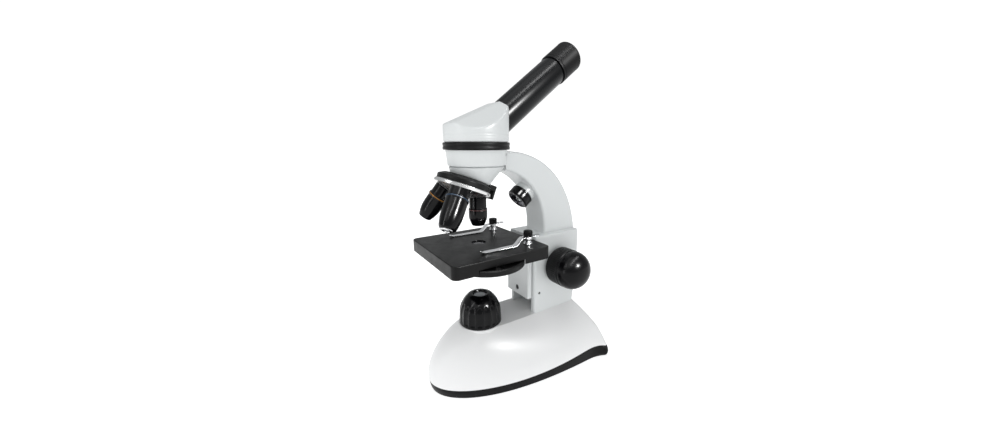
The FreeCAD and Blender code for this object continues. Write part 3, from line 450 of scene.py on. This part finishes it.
SMOKED_MIRROR = shade("smoked_mirror", (0.10, 0.10, 0.11), 0.12, metallic=1.0, mottle=0.2, grain=(900.0, 0.6))
BRASS = shade("brass", (0.62, 0.44, 0.17), 0.30, metallic=1.0, mottle=0.08, grain=(2500.0, 0.15))
RUBBER = shade("rubber", (0.012, 0.012, 0.012), 0.75, mottle=0.3, grain=(1800.0, 0.35), specular=0.3)
BAND_RED = shade("band_red", (0.05, 0.004, 0.004), 0.30, mottle=0.1, lines=0.2)
BAND_GOLD = shade("band_gold", (0.30, 0.13, 0.02), 0.30, metallic=0.4, mottle=0.1, lines=0.2)
BAND_BLUE = shade("band_blue", (0.004, 0.03, 0.07), 0.30, mottle=0.1, lines=0.2)
LAMP_WHITE = shade("lamp_white", (0.75, 0.75, 0.70), 0.40, mottle=0.03)
FROSTED = shade("frosted_lens", (0.42, 0.44, 0.46), 0.22, mottle=0.06, grain=(2000.0, 0.10))
CIRCUIT = shade("circuit_green", (0.02, 0.13, 0.05), 0.35, mottle=0.15, smudge=300.0)
CELL_WRAP = shade("cell_wrap", (0.05, 0.05, 0.06), 0.30, metallic=0.5, mottle=0.2)
GLASS = clear_glass("glass", (0.88, 0.92, 0.95))
# Near-black glass with a weak reflection for the condenser: painted shade, so the lens seen through the stage
# hole reads dark.
CONDENSER_PAINTED_DARK = clear_glass("condenser_painted_shade", (0.03, 0.03, 0.035), specular=0.1)
PALE_MARK = shade("pale_mark", (0.78, 0.78, 0.76), 0.45, mottle=0.05, grain=(3000.0, 0.3))

FINISHES = {
    "white_enamel": WHITE_ENAMEL, "white_shell": WHITE_SHELL, "black_gloss": BLACK_GLOSS,
    "black_plastic": BLACK_PLASTIC, "black_enamel": BLACK_ENAMEL, "black_anodised": BLACK_ANODISED,
    "silver_metal": SILVER, "chrome": CHROME, "steel": STEEL, "steel_black": STEEL_BLACK, "brass": BRASS,
    "rubber": RUBBER, "glass": GLASS, "lamp_white": LAMP_WHITE, "circuit_green": CIRCUIT,
    "cell_wrap": CELL_WRAP, "band_red": BAND_RED, "band_gold": BAND_GOLD, "band_blue": BAND_BLUE,
}


# ---------------------------------------------------------------- CAD nodes that stay
FLAT_ANGLE = math.radians(0.6)
EDGE_ANGLE = math.radians(35)
EDGE_WIDTH = 0.25 * MM


def finish_cad_nodes():
    for node, piece in NODES.items():
        piece.data.materials.clear()
        piece.data.materials.append(FINISHES[SLOTS[node]])
        flats = piece.modifiers.new("flats", "DECIMATE")
        flats.decimate_type = "DISSOLVE"
        flats.angle_limit = FLAT_ANGLE
        bevel = piece.modifiers.new("edges", "BEVEL")
        bevel.width = EDGE_WIDTH
        bevel.segments = 2
        bevel.limit_method = "ANGLE"
        bevel.angle_limit = EDGE_ANGLE
        bevel.use_clamp_overlap = True
        smooth_faces(piece.data)
        piece.data.set_sharp_from_angle(angle=SHARP)


finish_cad_nodes()
# The condenser lens gets the near-black glass, painted shade for the dark inside of the stage hole.
NODES["condenser_lens"].data.materials[0] = CONDENSER_PAINTED_DARK
NODES["slide_screw"].data.materials[0] = STEEL_BLACK


# ---------------------------------------------------------------- detailed pieces
def at(x, y, z):
    """A point given in mm from the optical axis."""
    return Vector((x * MM, AXIS_Y + y * MM, z * MM))


def stand_for(piece, material, *nodes):
    """The piece takes the place of CAD nodes of one body."""
    dress(piece, body_of(NODES[nodes[0]])[0], material, nodes)


def add_to(piece, material, node):
    """The piece is a further detail on the body of a CAD node."""
    dress(piece, body_of(NODES[node])[0], material)


def ribs(count, depth, low, high, fade=0.8):
    """A change of radius that cuts evenly spaced ribs between two heights."""
    def shape(r, h, angle):
        inside = min(1.0, max(0.0, (h - low) / fade)) * min(1.0, max(0.0, (high - h) / fade))
        wave = 0.5 - 0.5 * math.cos(count * angle)
        return r - depth * inside * wave ** 1.5
    return shape


def fill_heights(outline, low, high, step):
    """The outline with extra points wherever it climbs between low and high."""
    result = []
    for here, there in zip(outline, outline[1:] + outline[:1]):
        result.append(here)
        rise = abs(there[1] - here[1])
        if rise > step and min(here[1], there[1]) >= low and max(here[1], there[1]) <= high:
            count = int(rise / step)
            for k in range(1, count):
                t = k / count
                result.append((here[0] + (there[0] - here[0]) * t, here[1] + (there[1] - here[1]) * t))
    return result


# The lamp dome: a skirt of flutes that end in small arches below a smooth crown.
DOME_FOOT = 51.3
DOME_TOP = 78.0
FLUTES = 18
FLUTE_DEPTH = 0.75
FLUTE_TOP = 71.6
CROWN_R = 10.6
LENS_SEAT = DOME_TOP - 4.2
LENS_HOLE_R = 5.9


def flute(r, h, angle):
    place = (FLUTES * angle / (2 * math.pi)) % 1.0
    across = 2.0 * place - 1.0
    top = FLUTE_TOP - 3.4 * across ** 2
    below = min(1.0, max(0.0, (top - h) / 1.1))
    above = min(1.0, max(0.0, (h - DOME_FOOT - 1.6) / 2.0))
    outside = 1.0 if r > CROWN_R + 0.1 else 0.0
    hollow = max(0.0, 1.0 - (across / 0.86) ** 2)
    return r - FLUTE_DEPTH * outside * below * above * hollow ** 0.6


def make_dome():
    crown = arc((18.8, DOME_FOOT + 8.5), (16.2, DOME_FOOT + 19.6), (CROWN_R, DOME_TOP - 0.5), 34)
    outside = [(17.4, DOME_FOOT), (19.0, DOME_FOOT), (19.4, DOME_FOOT + 0.4)]
    outside += [(19.4 - 0.6 * k / 12, DOME_FOOT + 0.4 + 8.1 * k / 12) for k in range(1, 13)]
    outside += crown
    rim = soften([(CROWN_R, DOME_TOP - 0.5), (7.6, DOME_TOP), (6.5, DOME_TOP - 0.3),
                  (LENS_HOLE_R, DOME_TOP - 1.6), (LENS_HOLE_R, LENS_SEAT)], 0.3, closed=False)
    dome = lathe("lamp_dome", outside + rim[1:], at(0, 0, 0), Z_UP, FLUTES * 16, flute, closed=False)
    inside = [(LENS_HOLE_R, LENS_SEAT), (8.4, LENS_SEAT), (13.2, DOME_FOOT + 16.0),
              (16.8, DOME_FOOT + 7.0), (17.4, DOME_FOOT)]
    inner = lathe("lamp_dome_inside", inside, at(0, 0, 0), Z_UP, 96, closed=False)
    stand_for(dome, BLACK_GLOSS, "lower_lamp_dome")
    add_to(inner, BLACK_PLASTIC, "lower_lamp_dome")
    lens = [(0, LENS_SEAT), (5.8, LENS_SEAT), (5.8, DOME_TOP - 1.7)]
    lens += arc((5.8, DOME_TOP - 1.7), (3.0, DOME_TOP - 1.05), (0.0, DOME_TOP - 0.9), 6)
    stand_for(lathe("lamp_lens", lens, at(0, 0, 0), Z_UP, 64), FROSTED, "lower_lamp_lens")


# The focus knobs: a ribbed drum against the column and a smooth round end.
KNOB_R = 18.0
KNOB_INNER = 21.6
KNOB_EDGE = 38.0
KNOB_OUTER = 56.0
KNOB_RIBS = 56
KNOB_BORE = 3.05
BORE_END = 50.1
GRIP_FROM = 16.0          # only the drum is ribbed, not the face that looks at the column


def make_knobs():
    outline = [(KNOB_BORE, KNOB_INNER + 0.2), (6.3, KNOB_INNER + 0.2), (6.5, KNOB_INNER + 4.0),
               (11.0, KNOB_INNER + 4.0), (11.2, KNOB_INNER), (14.5, KNOB_INNER)]
    outline += arc((14.5, KNOB_INNER), (16.8, KNOB_INNER + 0.7), (KNOB_R, KNOB_INNER + 3.0), 6)
    outline += [(KNOB_R, KNOB_EDGE - 0.8), (17.5, KNOB_EDGE - 0.4), (17.5, KNOB_EDGE + 0.3)]
    outline += arc((17.7, KNOB_EDGE + 0.6), (15.6, KNOB_OUTER - 7.5), (6.0, KNOB_OUTER - 0.6), 26)
    outline += arc((6.0, KNOB_OUTER - 0.6), (3.0, KNOB_OUTER - 0.15), (0.0, KNOB_OUTER), 5)
    outline += [(0.0, BORE_END), (KNOB_BORE, BORE_END)]
    outline = fill_heights(outline, KNOB_INNER + 2.9, KNOB_EDGE, 0.8)
    grip = ribs(KNOB_RIBS, 0.32, KNOB_INNER + 2.2, KNOB_EDGE - 1.4)
    for side, sign in (("right", 1), ("left", -1)):
        knob = lathe(side + "_knob", outline, SHAFT, X_RIGHT * sign, KNOB_RIBS * 6,
                     lambda r, h, a: grip(r, h, a) if r > GRIP_FROM else r)
        stand_for(knob, KNOB_BLACK, side + "_focus_knob")


# The objectives: turn on the nosepiece, band (groove radius, top, bottom), paint, barrel and lens radius.
# Barrels are (radius, distance below the shoulder).
OBJECTIVES = (
    ("4x", 0, (7.2, 10.0, 10.9), BAND_RED,
     [(7.4, 0), (7.4, 9.2), (8.1, 9.9), (8.1, 16.0), (7.9, 18.0), (7.3, 20.0), (5.4, 24.4)], 4.0),
    ("10x", 240, (8.0, 9.7, 10.5), BAND_GOLD,
     [(8.0, 0), (8.0, 8.6), (8.8, 9.2), (8.8, 11.0), (8.3, 11.6), (8.3, 18.0), (8.0, 23.0),
      (7.0, 27.4), (5.6, 31.4)], 3.0),
    ("40x", 120, (8.5, 7.3, 8.3), BAND_BLUE,
     [(8.4, 0), (8.4, 6.2), (9.3, 6.8), (9.3, 8.8), (8.9, 9.4), (8.9, 17.0), (8.6, 24.0),
      (7.4, 30.4), (6.7, 32.2), (5.5, 33.3)], 2.0),
)
OBJECTIVE_BORE = 3.2
THREAD_R = 5.9
THREAD_TOP = -3.5


def make_turret():
    for name, turn, band, paint, barrel, lens_r in OBJECTIVES:
        make_objective(name, turn, band, paint, barrel, lens_r)


def make_objective(name, turn, band, paint, barrel, lens_r):
    turning = Matrix.Translation(TURRET_C) @ Matrix.Rotation(math.radians(turn), 4, TURRET_DOWN)
    turning = turning @ Matrix.Translation(-TURRET_C)
    start = turning @ at(0, 0, SHOULDER_Z)
    axis = (turning.to_3x3() @ -Z_UP).normalized()
    groove_r, band_top, band_bottom = band
    outside = []
    for here, there in zip(barrel, barrel[1:] + [None]):
        outside.append(here)
        if there and here[1] < band_top < there[1]:
            outside += [(here[0], band_top), (groove_r, band_top),
                        (groove_r, band_bottom), (here[0], band_bottom)]
    tip_r, tip = outside[-1]
    if name == "40x":
        nose_end = [(tip_r - 0.3, tip + 0.05), (4.4, tip + 0.05)]
    else:
        nose_end = [(lens_r + 0.4, tip), (lens_r, tip - 0.4), (lens_r, tip - 1.4)]
    outline = [(OBJECTIVE_BORE, THREAD_TOP), (THREAD_R, THREAD_TOP), (THREAD_R, 0)] + outside + nose_end
    outline.append((OBJECTIVE_BORE, tip - 2.6))
    barrel_piece = lathe("objective_barrel_" + name, soften(outline, 0.28), start, axis, 72)
    stand_for(barrel_piece, OBJECTIVE_BLACK, "objective_" + name)
    collar_r = barrel[2][0]
    ring = soften([(groove_r, band_top + 0.02), (collar_r + 0.02, band_top + 0.02),
                   (collar_r + 0.02, band_bottom - 0.02), (groove_r, band_bottom - 0.02)], 0.1)
    stand_for(lathe("band_ring_" + name, ring, start, axis, 72), paint, "colour_band_" + name)
    if name == "40x":
        nose = [(OBJECTIVE_BORE, 31.4), (4.3, 31.4), (4.3, 33.36), (5.2, 33.36), (5.0, 33.9), (4.4, 34.0),
                (4.0, 34.3), (3.0, 34.4), (2.4, 34.4), (2.0, 33.4), (2.0, 32.0), (OBJECTIVE_BORE, 32.0)]
        piece = lathe("objective_nose_40x", soften(nose, 0.15), start, axis, 72)
        add_to(piece, CHROME, "objective_40x")


# The posts and caps of the stage clips.
CLIP_X = 29.0
POST_Y = 32.5
CAP_RIBS = 22


def make_posts():
    foot = 126.3
    shoulder = 132.4
    post = soften([(0, 118.5), (2.0, 118.5), (2.0, foot), (3.9, foot), (3.9, foot + 0.9), (3.1, foot + 1.5),
                   (3.1, foot + 2.2), (2.5, foot + 2.4), (2.5, foot + 4.0), (3.1, foot + 4.2),
                   (3.1, shoulder), (2.0, shoulder), (2.0, 136.6), (0, 136.6)], 0.2)
    cap = [(2.0, 133.4), (3.6, 133.4), (4.0, 133.8), (4.0, 137.7)]
    cap += arc((4.0, 137.7), (3.75, 138.15), (3.3, 138.4), 4) + [(0, 138.4), (0, 136.6), (2.0, 136.6)]
    cap = fill_heights(cap, 133.4, 138.0, 0.4)
    knurl = ribs(CAP_RIBS, 0.35, 133.6, 137.9, 0.4)
    posts = []
    caps = []
    for side, x in (("left", -CLIP_X), ("right", CLIP_X)):
        posts.append(lathe(side + "_clip_post", post, at(x, POST_Y, 0), Z_UP, 48))
        caps.append(lathe(side + "_clip_cap", cap, at(x, POST_Y, 0), Z_UP, CAP_RIBS * 6,
                          lambda r, h, a: knurl(r, h, a) if r > 3.5 else r))
    stand_for(join_pieces("clip_post_pair", posts), CHROME, "clip_posts")
    stand_for(join_pieces("clip_cap_pair", caps), BLACK_PLASTIC, "clip_caps")


def join_pieces(name, objects):
    """Several meshes as one piece."""
    bpy.ops.object.select_all(action="DESELECT")
    for piece in objects:
        piece.select_set(True)
    bpy.context.view_layer.objects.active = objects[0]
    bpy.ops.object.join()
    objects[0].name = name
    return objects[0]


# The stage clips: sprung strips with rounded edges, an eye at the post and a curled tip.
CLIP_LOW = 126.6                    # height of the underside, 0.3 mm above the table
CLIP_HIGH = 132.5                   # and at the post
CLIP_TIP, CURL_START, RISE_START, RISE_END, CLIP_TAIL = -15.0, -10.5, 17.5, 26.5, 45.0       # along Y
CLIP_EYE_R = 4.2
CLIP_THICKNESS = 0.8
CLIP_STEPS = 120


def clip_height(y):
    """Height of the strip's underside at one Y."""
    if y >= RISE_END:
        return CLIP_HIGH
    if y >= RISE_START:
        t = (y - RISE_START) / (RISE_END - RISE_START)
        return CLIP_LOW + (CLIP_HIGH - CLIP_LOW) * (3 * t ** 2 - 2 * t ** 3)
    if y >= CURL_START:
        return CLIP_LOW
    t = (CURL_START - y) / (CURL_START - CLIP_TIP)
    return CLIP_LOW + 1.7 * t ** 1.6


def clip_half_width(y):
    """Half the width of the strip at one Y."""
    width = 2.2 + 0.8 * min(1.0, max(0.0, (y - CLIP_TIP) / 30.0))
    reach = y - POST_Y
    if abs(reach) < CLIP_EYE_R:
        width = max(width, math.sqrt(CLIP_EYE_R ** 2 - reach ** 2))
    tip = min(1.0, max(0.0, (y - CLIP_TIP) / 2.2))
    tail = min(1.0, max(0.0, (CLIP_TAIL - y) / 3.0))
    return max(0.35, width * math.sqrt(1 - (1 - tip) ** 2) * math.sqrt(1 - (1 - tail) ** 2))


def make_clip(side, x):
    across = (-1.0, -0.92, -0.75, -0.3, 0.3, 0.75, 0.92, 1.0)
    lift = (0.5, 0.85, 1.0, 1.0, 1.0, 1.0, 0.85, 0.5)
    points = []
    stations = [CLIP_TIP + (CLIP_TAIL - CLIP_TIP) * k / CLIP_STEPS for k in range(CLIP_STEPS + 1)]
    for y in stations:
        half = clip_half_width(y)
        z = clip_height(y)
        for u, top in zip(across, lift):
            points.append(at(x + u * half, y, z + CLIP_THICKNESS * top))
        for u, top in zip(across[::-1][1:-1], lift[::-1][1:-1]):
            points.append(at(x + u * half, y, z + CLIP_THICKNESS * (1 - top)))
    ring = 2 * len(across) - 2
    faces = []
    for i in range(len(stations) - 1):
        for k in range(ring):
            k2 = (k + 1) % ring
            faces.append((i * ring + k, i * ring + k2, (i + 1) * ring + k2, (i + 1) * ring + k))
    faces.append(tuple(range(ring))[::-1])
    last = (len(stations) - 1) * ring
    faces.append(tuple(range(last, last + ring)))
    strip = add_mesh(side + "_clip_strip", points, faces)
    fix_normals(strip)
    drill(strip, at(x, POST_Y, 125.0), radius=2.1, depth=15.0)
    stand_for(strip, CHROME, side + "_clip")


def drill(piece, start, radius, depth):
    """A round hole through the piece along Z."""
    cutter = lathe("cutter", [(0, 0), (radius, 0), (radius, depth), (0, depth)], start, Z_UP, 32)
    fix_normals(cutter)
    hole = piece.modifiers.new("hole", "BOOLEAN")
    hole.operation = "DIFFERENCE"
    hole.solver = "EXACT"
    hole.object = cutter
    settle(piece).set_sharp_from_angle(angle=SHARP)
    bpy.data.objects.remove(cutter)


# The head ring, the inclined tube and the eyepiece.
TUBE_R = 13.2
TUBE_LENGTH = 70.0
TUBE_INSIDE = 16.0
EYE_TOP = 96.0
EYE_R = 14.2


def make_head_parts():
    ring = [(9.0, 197.5), (18.6, 197.5), (18.6, 206.5), (27.2, 206.5), (27.7, 207.0), (27.7, 208.6),
            (27.45, 208.8), (27.45, 210.0), (27.7, 210.2), (27.7, 211.8), (27.2, 212.3), (9.0, 212.3)]
    stand_for(lathe("head_band", soften(ring, 0.15), at(0, 0, 0), Z_UP, 128), BLACK_ENAMEL, "head_ring")
    bore = TUBE_R - 1.6
    tube = [(bore, -TUBE_INSIDE), (TUBE_R - 0.04, -TUBE_INSIDE), (TUBE_R - 0.04, TUBE_LENGTH - 0.6),
            (TUBE_R - 0.6, TUBE_LENGTH), (bore, TUBE_LENGTH)]
    stand_for(lathe("body_tube", soften(tube, 0.3), TUBE_FOOT, TUBE_AXIS, 128), TUBE_BLACK, "eyepiece_tube")


def make_eyepiece():
    sleeve_r = TUBE_R - 1.68
    foot = TUBE_LENGTH + 0.3
    outline = [(10.2, 36.0), (sleeve_r, 36.0), (sleeve_r, foot), (EYE_R - 0.1, foot), (EYE_R, foot + 0.4),
               (EYE_R, foot + 2.2), (EYE_R - 0.25, foot + 2.4), (EYE_R - 0.25, foot + 2.8),
               (EYE_R, foot + 3.0), (EYE_R, EYE_TOP - 3.0)]
    outline += arc((EYE_R, EYE_TOP - 3.0), (13.9, EYE_TOP - 0.9), (12.6, EYE_TOP), 8)
    outline += [(9.6, EYE_TOP), (8.4, EYE_TOP - 1.6), (8.4, EYE_TOP - 5.0), (10.2, EYE_TOP - 6.0)]
    piece = lathe("eyepiece_body", soften(outline, 0.2), TUBE_FOOT, TUBE_AXIS, 128)
    stand_for(piece, BLACK_PLASTIC, "eyepiece_barrel")


# The small lamp on the arm, with its white index line.
LAMP_R = 10.8
LAMP_LENGTH = 9.4
LAMP_FALL = math.radians(40.0)
LAMP_AIM = Vector((0, -math.cos(LAMP_FALL), -math.sin(LAMP_FALL)))


def make_upper_lamp():
    length = LAMP_LENGTH
    back = at(0, 41.2, 160.0) - LAMP_AIM * length * MM
    seat = length - 3.4
    housing = [(0, 0), (LAMP_R - 0.8, 0), (LAMP_R, 0.8), (LAMP_R, 2.0), (LAMP_R - 0.3, 2.2),
               (LAMP_R - 0.3, 2.6), (LAMP_R, 2.8), (LAMP_R, length - 1.0), (LAMP_R - 1.0, length),
               (8.8, length), (8.5, length - 0.4), (7.2, seat + 1.0), (5.0, seat), (4.0, seat),
               (4.0, 3.0), (0, 3.0)]
    body = lathe("arm_lamp_body", soften(housing, 0.2), back, LAMP_AIM, 96)
    stand_for(body, OBJECTIVE_BLACK, "upper_lamp_housing")
    reflector = [(4.05, seat + 0.05), (5.0, seat + 0.15), (7.1, seat + 1.12), (8.3, length - 0.5),
                 (8.3, length - 0.7), (7.1, seat + 0.95), (5.0, seat + 0.05)]
    add_to(lathe("arm_lamp_reflector", reflector, back, LAMP_AIM, 96), SMOKED_MIRROR, "upper_lamp_housing")
    make_index_line(back)


def make_index_line(back):
    """A narrow white strip along the lamp's side that stands a twentieth of a millimetre proud."""
    place = upright(back, LAMP_AIM)
    towards = place.to_3x3().inverted() @ Vector((0.62, 0.0, 0.78))
    middle_angle = math.atan2(towards.y, towards.x)
    half = 0.075
    steps = 6
    points = []
    for radius in (LAMP_R - 0.2, LAMP_R + 0.05):
        for h in (2.9, LAMP_LENGTH - 1.6):
            for k in range(steps + 1):
                angle = middle_angle - half + 2 * half * k / steps
                point = Vector((radius * math.cos(angle), radius * math.sin(angle), h)) * MM
                points.append(place @ point)
    row = steps + 1
    inner_low, inner_high, outer_low, outer_high = (range(row * i, row * (i + 1)) for i in range(4))
    faces = [(inner_low[0], outer_low[0], outer_high[0], inner_high[0]),
             (inner_low[-1], inner_high[-1], outer_high[-1], outer_low[-1])]
    for k in range(steps):
        faces.append((outer_low[k], outer_low[k + 1], outer_high[k + 1], outer_high[k]))
        faces.append((inner_low[k], inner_high[k], inner_high[k + 1], inner_low[k + 1]))
        faces.append((inner_low[k], inner_low[k + 1], outer_low[k + 1], outer_low[k]))
        faces.append((inner_high[k], outer_high[k], outer_high[k + 1], inner_high[k + 1]))
    line = add_mesh("arm_lamp_line", points, faces)
    fix_normals(line)
    add_to(line, PALE_MARK, "upper_lamp_housing")


# The painted castings have soft edges. The nosepiece follows the CAD, and the head has flatter side facets.
HEAD_GRAIN = 0.65 * MM
NOSEPIECE_GRAIN = 0.6 * MM
DRUM_SURFACE = 26.2               # points nearer to the axis than this are not grooved
GROOVE_HEIGHTS = (214.6, 216.6, 218.6)
GROOVE_DEPTH = 0.22
GROOVE_WIDTH = 0.45


def make_castings():
    head = cast_copy("head_casting", "head_housing", HEAD_GRAIN, 0)
    raise_facets(head)
    recast(head, HEAD_GRAIN, 22)
    groove_rings(head)
    stand_for(head, WHITE_ENAMEL, "head_housing")
    nosepiece = cast_copy("nosepiece_casting", "nosepiece_mount", NOSEPIECE_GRAIN, 3)
    stand_for(nosepiece, WHITE_ENAMEL, "nosepiece_mount")


ROOF_HALF_WIDTH = 10.5
ROOF_FRONT = (-27.0, 226.0)        # Y and Z of the front edge of the head's roof
ROOF_SLOPE = math.tan(math.radians(23.5))
CAD_FACET = math.tan(math.radians(52.0))
FLAT_FACET = math.tan(math.radians(36.0))


def raise_facets(piece):
    """Lifts the head's side facets to a flatter slope, but not past the plane that the tube comes out of."""
    for vertex in piece.data.vertices:
        x = abs(vertex.co.x) / MM - ROOF_HALF_WIDTH
        y = (vertex.co.y - AXIS_Y) / MM
        if x <= 0:
            continue
        roof = ROOF_FRONT[1] + (y - ROOF_FRONT[0]) * ROOF_SLOPE
        below = abs(roof - x * CAD_FACET - vertex.co.z / MM)
        share = min(1.0, max(0.0, (1.6 - below) / 0.8))
        vertex.co.z += share * x * (CAD_FACET - FLAT_FACET) * MM
        beyond = (vertex.co - TUBE_FOOT).dot(TUBE_AXIS)
        if beyond > 0 and share > 0:
            vertex.co -= TUBE_AXIS * beyond


def groove_rings(piece):
    """Faint turned rings round the drum of the head."""
    for vertex in piece.data.vertices:
        x = vertex.co.x / MM
        y = (vertex.co.y - AXIS_Y) / MM
        z = vertex.co.z / MM
        radius = math.hypot(x, y)
        if radius < DRUM_SURFACE:
            continue
        depth = sum(GROOVE_DEPTH * math.exp(-((z - h) / GROOVE_WIDTH) ** 2) for h in GROOVE_HEIGHTS)
        share = (radius - depth) / radius
        vertex.co.x = x * share * MM
        vertex.co.y = AXIS_Y + y * share * MM


for make in (make_dome, make_knobs, make_turret, make_posts, make_head_parts, make_eyepiece, make_upper_lamp,
             make_castings):
    make()
make_clip("left", -CLIP_X)
make_clip("right", CLIP_X)


# ---------------------------------------------------------------- floor and light
FLOOR_HALF = 12.0
TOWARDS_KNOB_LIGHT = Vector((0.854, 0.145, 0.503))
TOWARDS_TUBE_STRIP = Vector((0.500, 0.039, 0.866))
FLOOR_GLOW = 0.55         # keeps the paper white right out to the horizon
WORLD_LIGHT = 0.56
BACKDROP = 1.05
SUN_STRENGTH = 1.20


def make_floor():
    points = [(FLOOR_HALF * x, FLOOR_HALF * y, 0) for x, y in ((-1, -1), (1, -1), (1, 1), (-1, 1))]
    floor = add_mesh("floor", points, [(0, 1, 2, 3)])
    paper = shade("pale_floor", (0.93, 0.93, 0.93), 0.6, mottle=0.005, grain=(200.0, 0.02), specular=0.1)
    shader = paper.node_tree.nodes["Principled BSDF"]
    fill_sockets(shader, {"Emission Color": PURE_WHITE, "Emission Strength": FLOOR_GLOW})
    floor.data.materials.append(paper)


def soft_light(name, place, aim, size, power, along=X_RIGHT):
    """A rectangular lamp that only shows as a reflection, with its long side turned along a direction."""
    data = bpy.data.lights.new(name, "AREA")
    data.shape = "RECTANGLE"
    data.size, data.size_y = size
    data.energy = power
    lamp = bpy.data.objects.new(name, data)
    away = (Vector(place) - Vector(aim)).normalized()
    side = (along - away * along.dot(away)).normalized()
    turn = Matrix((side, away.cross(side), away)).transposed()
    lamp.matrix_world = Matrix.Translation(place) @ turn.to_4x4()
    lamp.visible_diffuse = False
    bpy.context.scene.collection.objects.link(lamp)


def soft_sun(name, travel, strength, spread):
    """A distant light; travel is the way that its rays go."""
    data = bpy.data.lights.new(name, "SUN")
    data.energy = strength
    data.angle = math.radians(spread)
    lamp = bpy.data.objects.new(name, data)
    lamp.rotation_euler = Vector(travel).to_track_quat("-Z", "Y").to_euler()
    bpy.context.scene.collection.objects.link(lamp)


def make_light():
    right = Vector((math.cos(LOOK_AZIMUTH), math.sin(LOOK_AZIMUTH), 0))
    back = Vector((math.sin(LOOK_AZIMUTH), -math.cos(LOOK_AZIMUTH), 0))
    soft_sun("overhead", -(back * 0.45 - right * 0.25 + Z_UP * 1.0), SUN_STRENGTH, spread=70.0)
    knob = SHAFT + X_RIGHT * KNOB_EDGE * MM
    soft_light("knob_light", knob + TOWARDS_KNOB_LIGHT * 0.7, knob, size=(0.11, 0.11), power=11.0)
    tube = TUBE_FOOT + TUBE_AXIS * 0.035
    soft_light("tube_strip", tube + TOWARDS_TUBE_STRIP * 0.6, tube, size=(1.2, 0.06), power=5.0,
               along=TUBE_AXIS)
    centre = Vector((0, 0, 0.15))
    soft_light("window", centre + back * 0.50 - right * 0.60 + Z_UP * 0.25, centre, size=(0.9, 0.04),
               power=1.6, along=Z_UP)
    make_world()


def make_world():
    """Even light from all round, with a plain white background behind the object."""
    world = bpy.data.worlds.new("world")
    world.use_nodes = True
    tree = world.node_tree
    lighting = tree.nodes["Background"]
    fill_sockets(lighting, {"Color": (0.97, 0.99, 1.0, 1.0), "Strength": WORLD_LIGHT})
    backdrop = tree.nodes.new("ShaderNodeBackground")
    fill_sockets(backdrop, {"Color": PURE_WHITE, "Strength": BACKDROP})
    seen = tree.nodes.new("ShaderNodeLightPath")
    mix = tree.nodes.new("ShaderNodeMixShader")
    tree.links.new(seen.outputs["Is Camera Ray"], mix.inputs["Fac"])
    tree.links.new(lighting.outputs["Background"], mix.inputs[1])
    tree.links.new(backdrop.outputs["Background"], mix.inputs[2])
    tree.links.new(mix.outputs["Shader"], tree.nodes["World Output"].inputs["Surface"])
    bpy.context.scene.world = world
    bpy.context.scene.view_settings.view_transform = "Standard"


make_floor()
make_light()
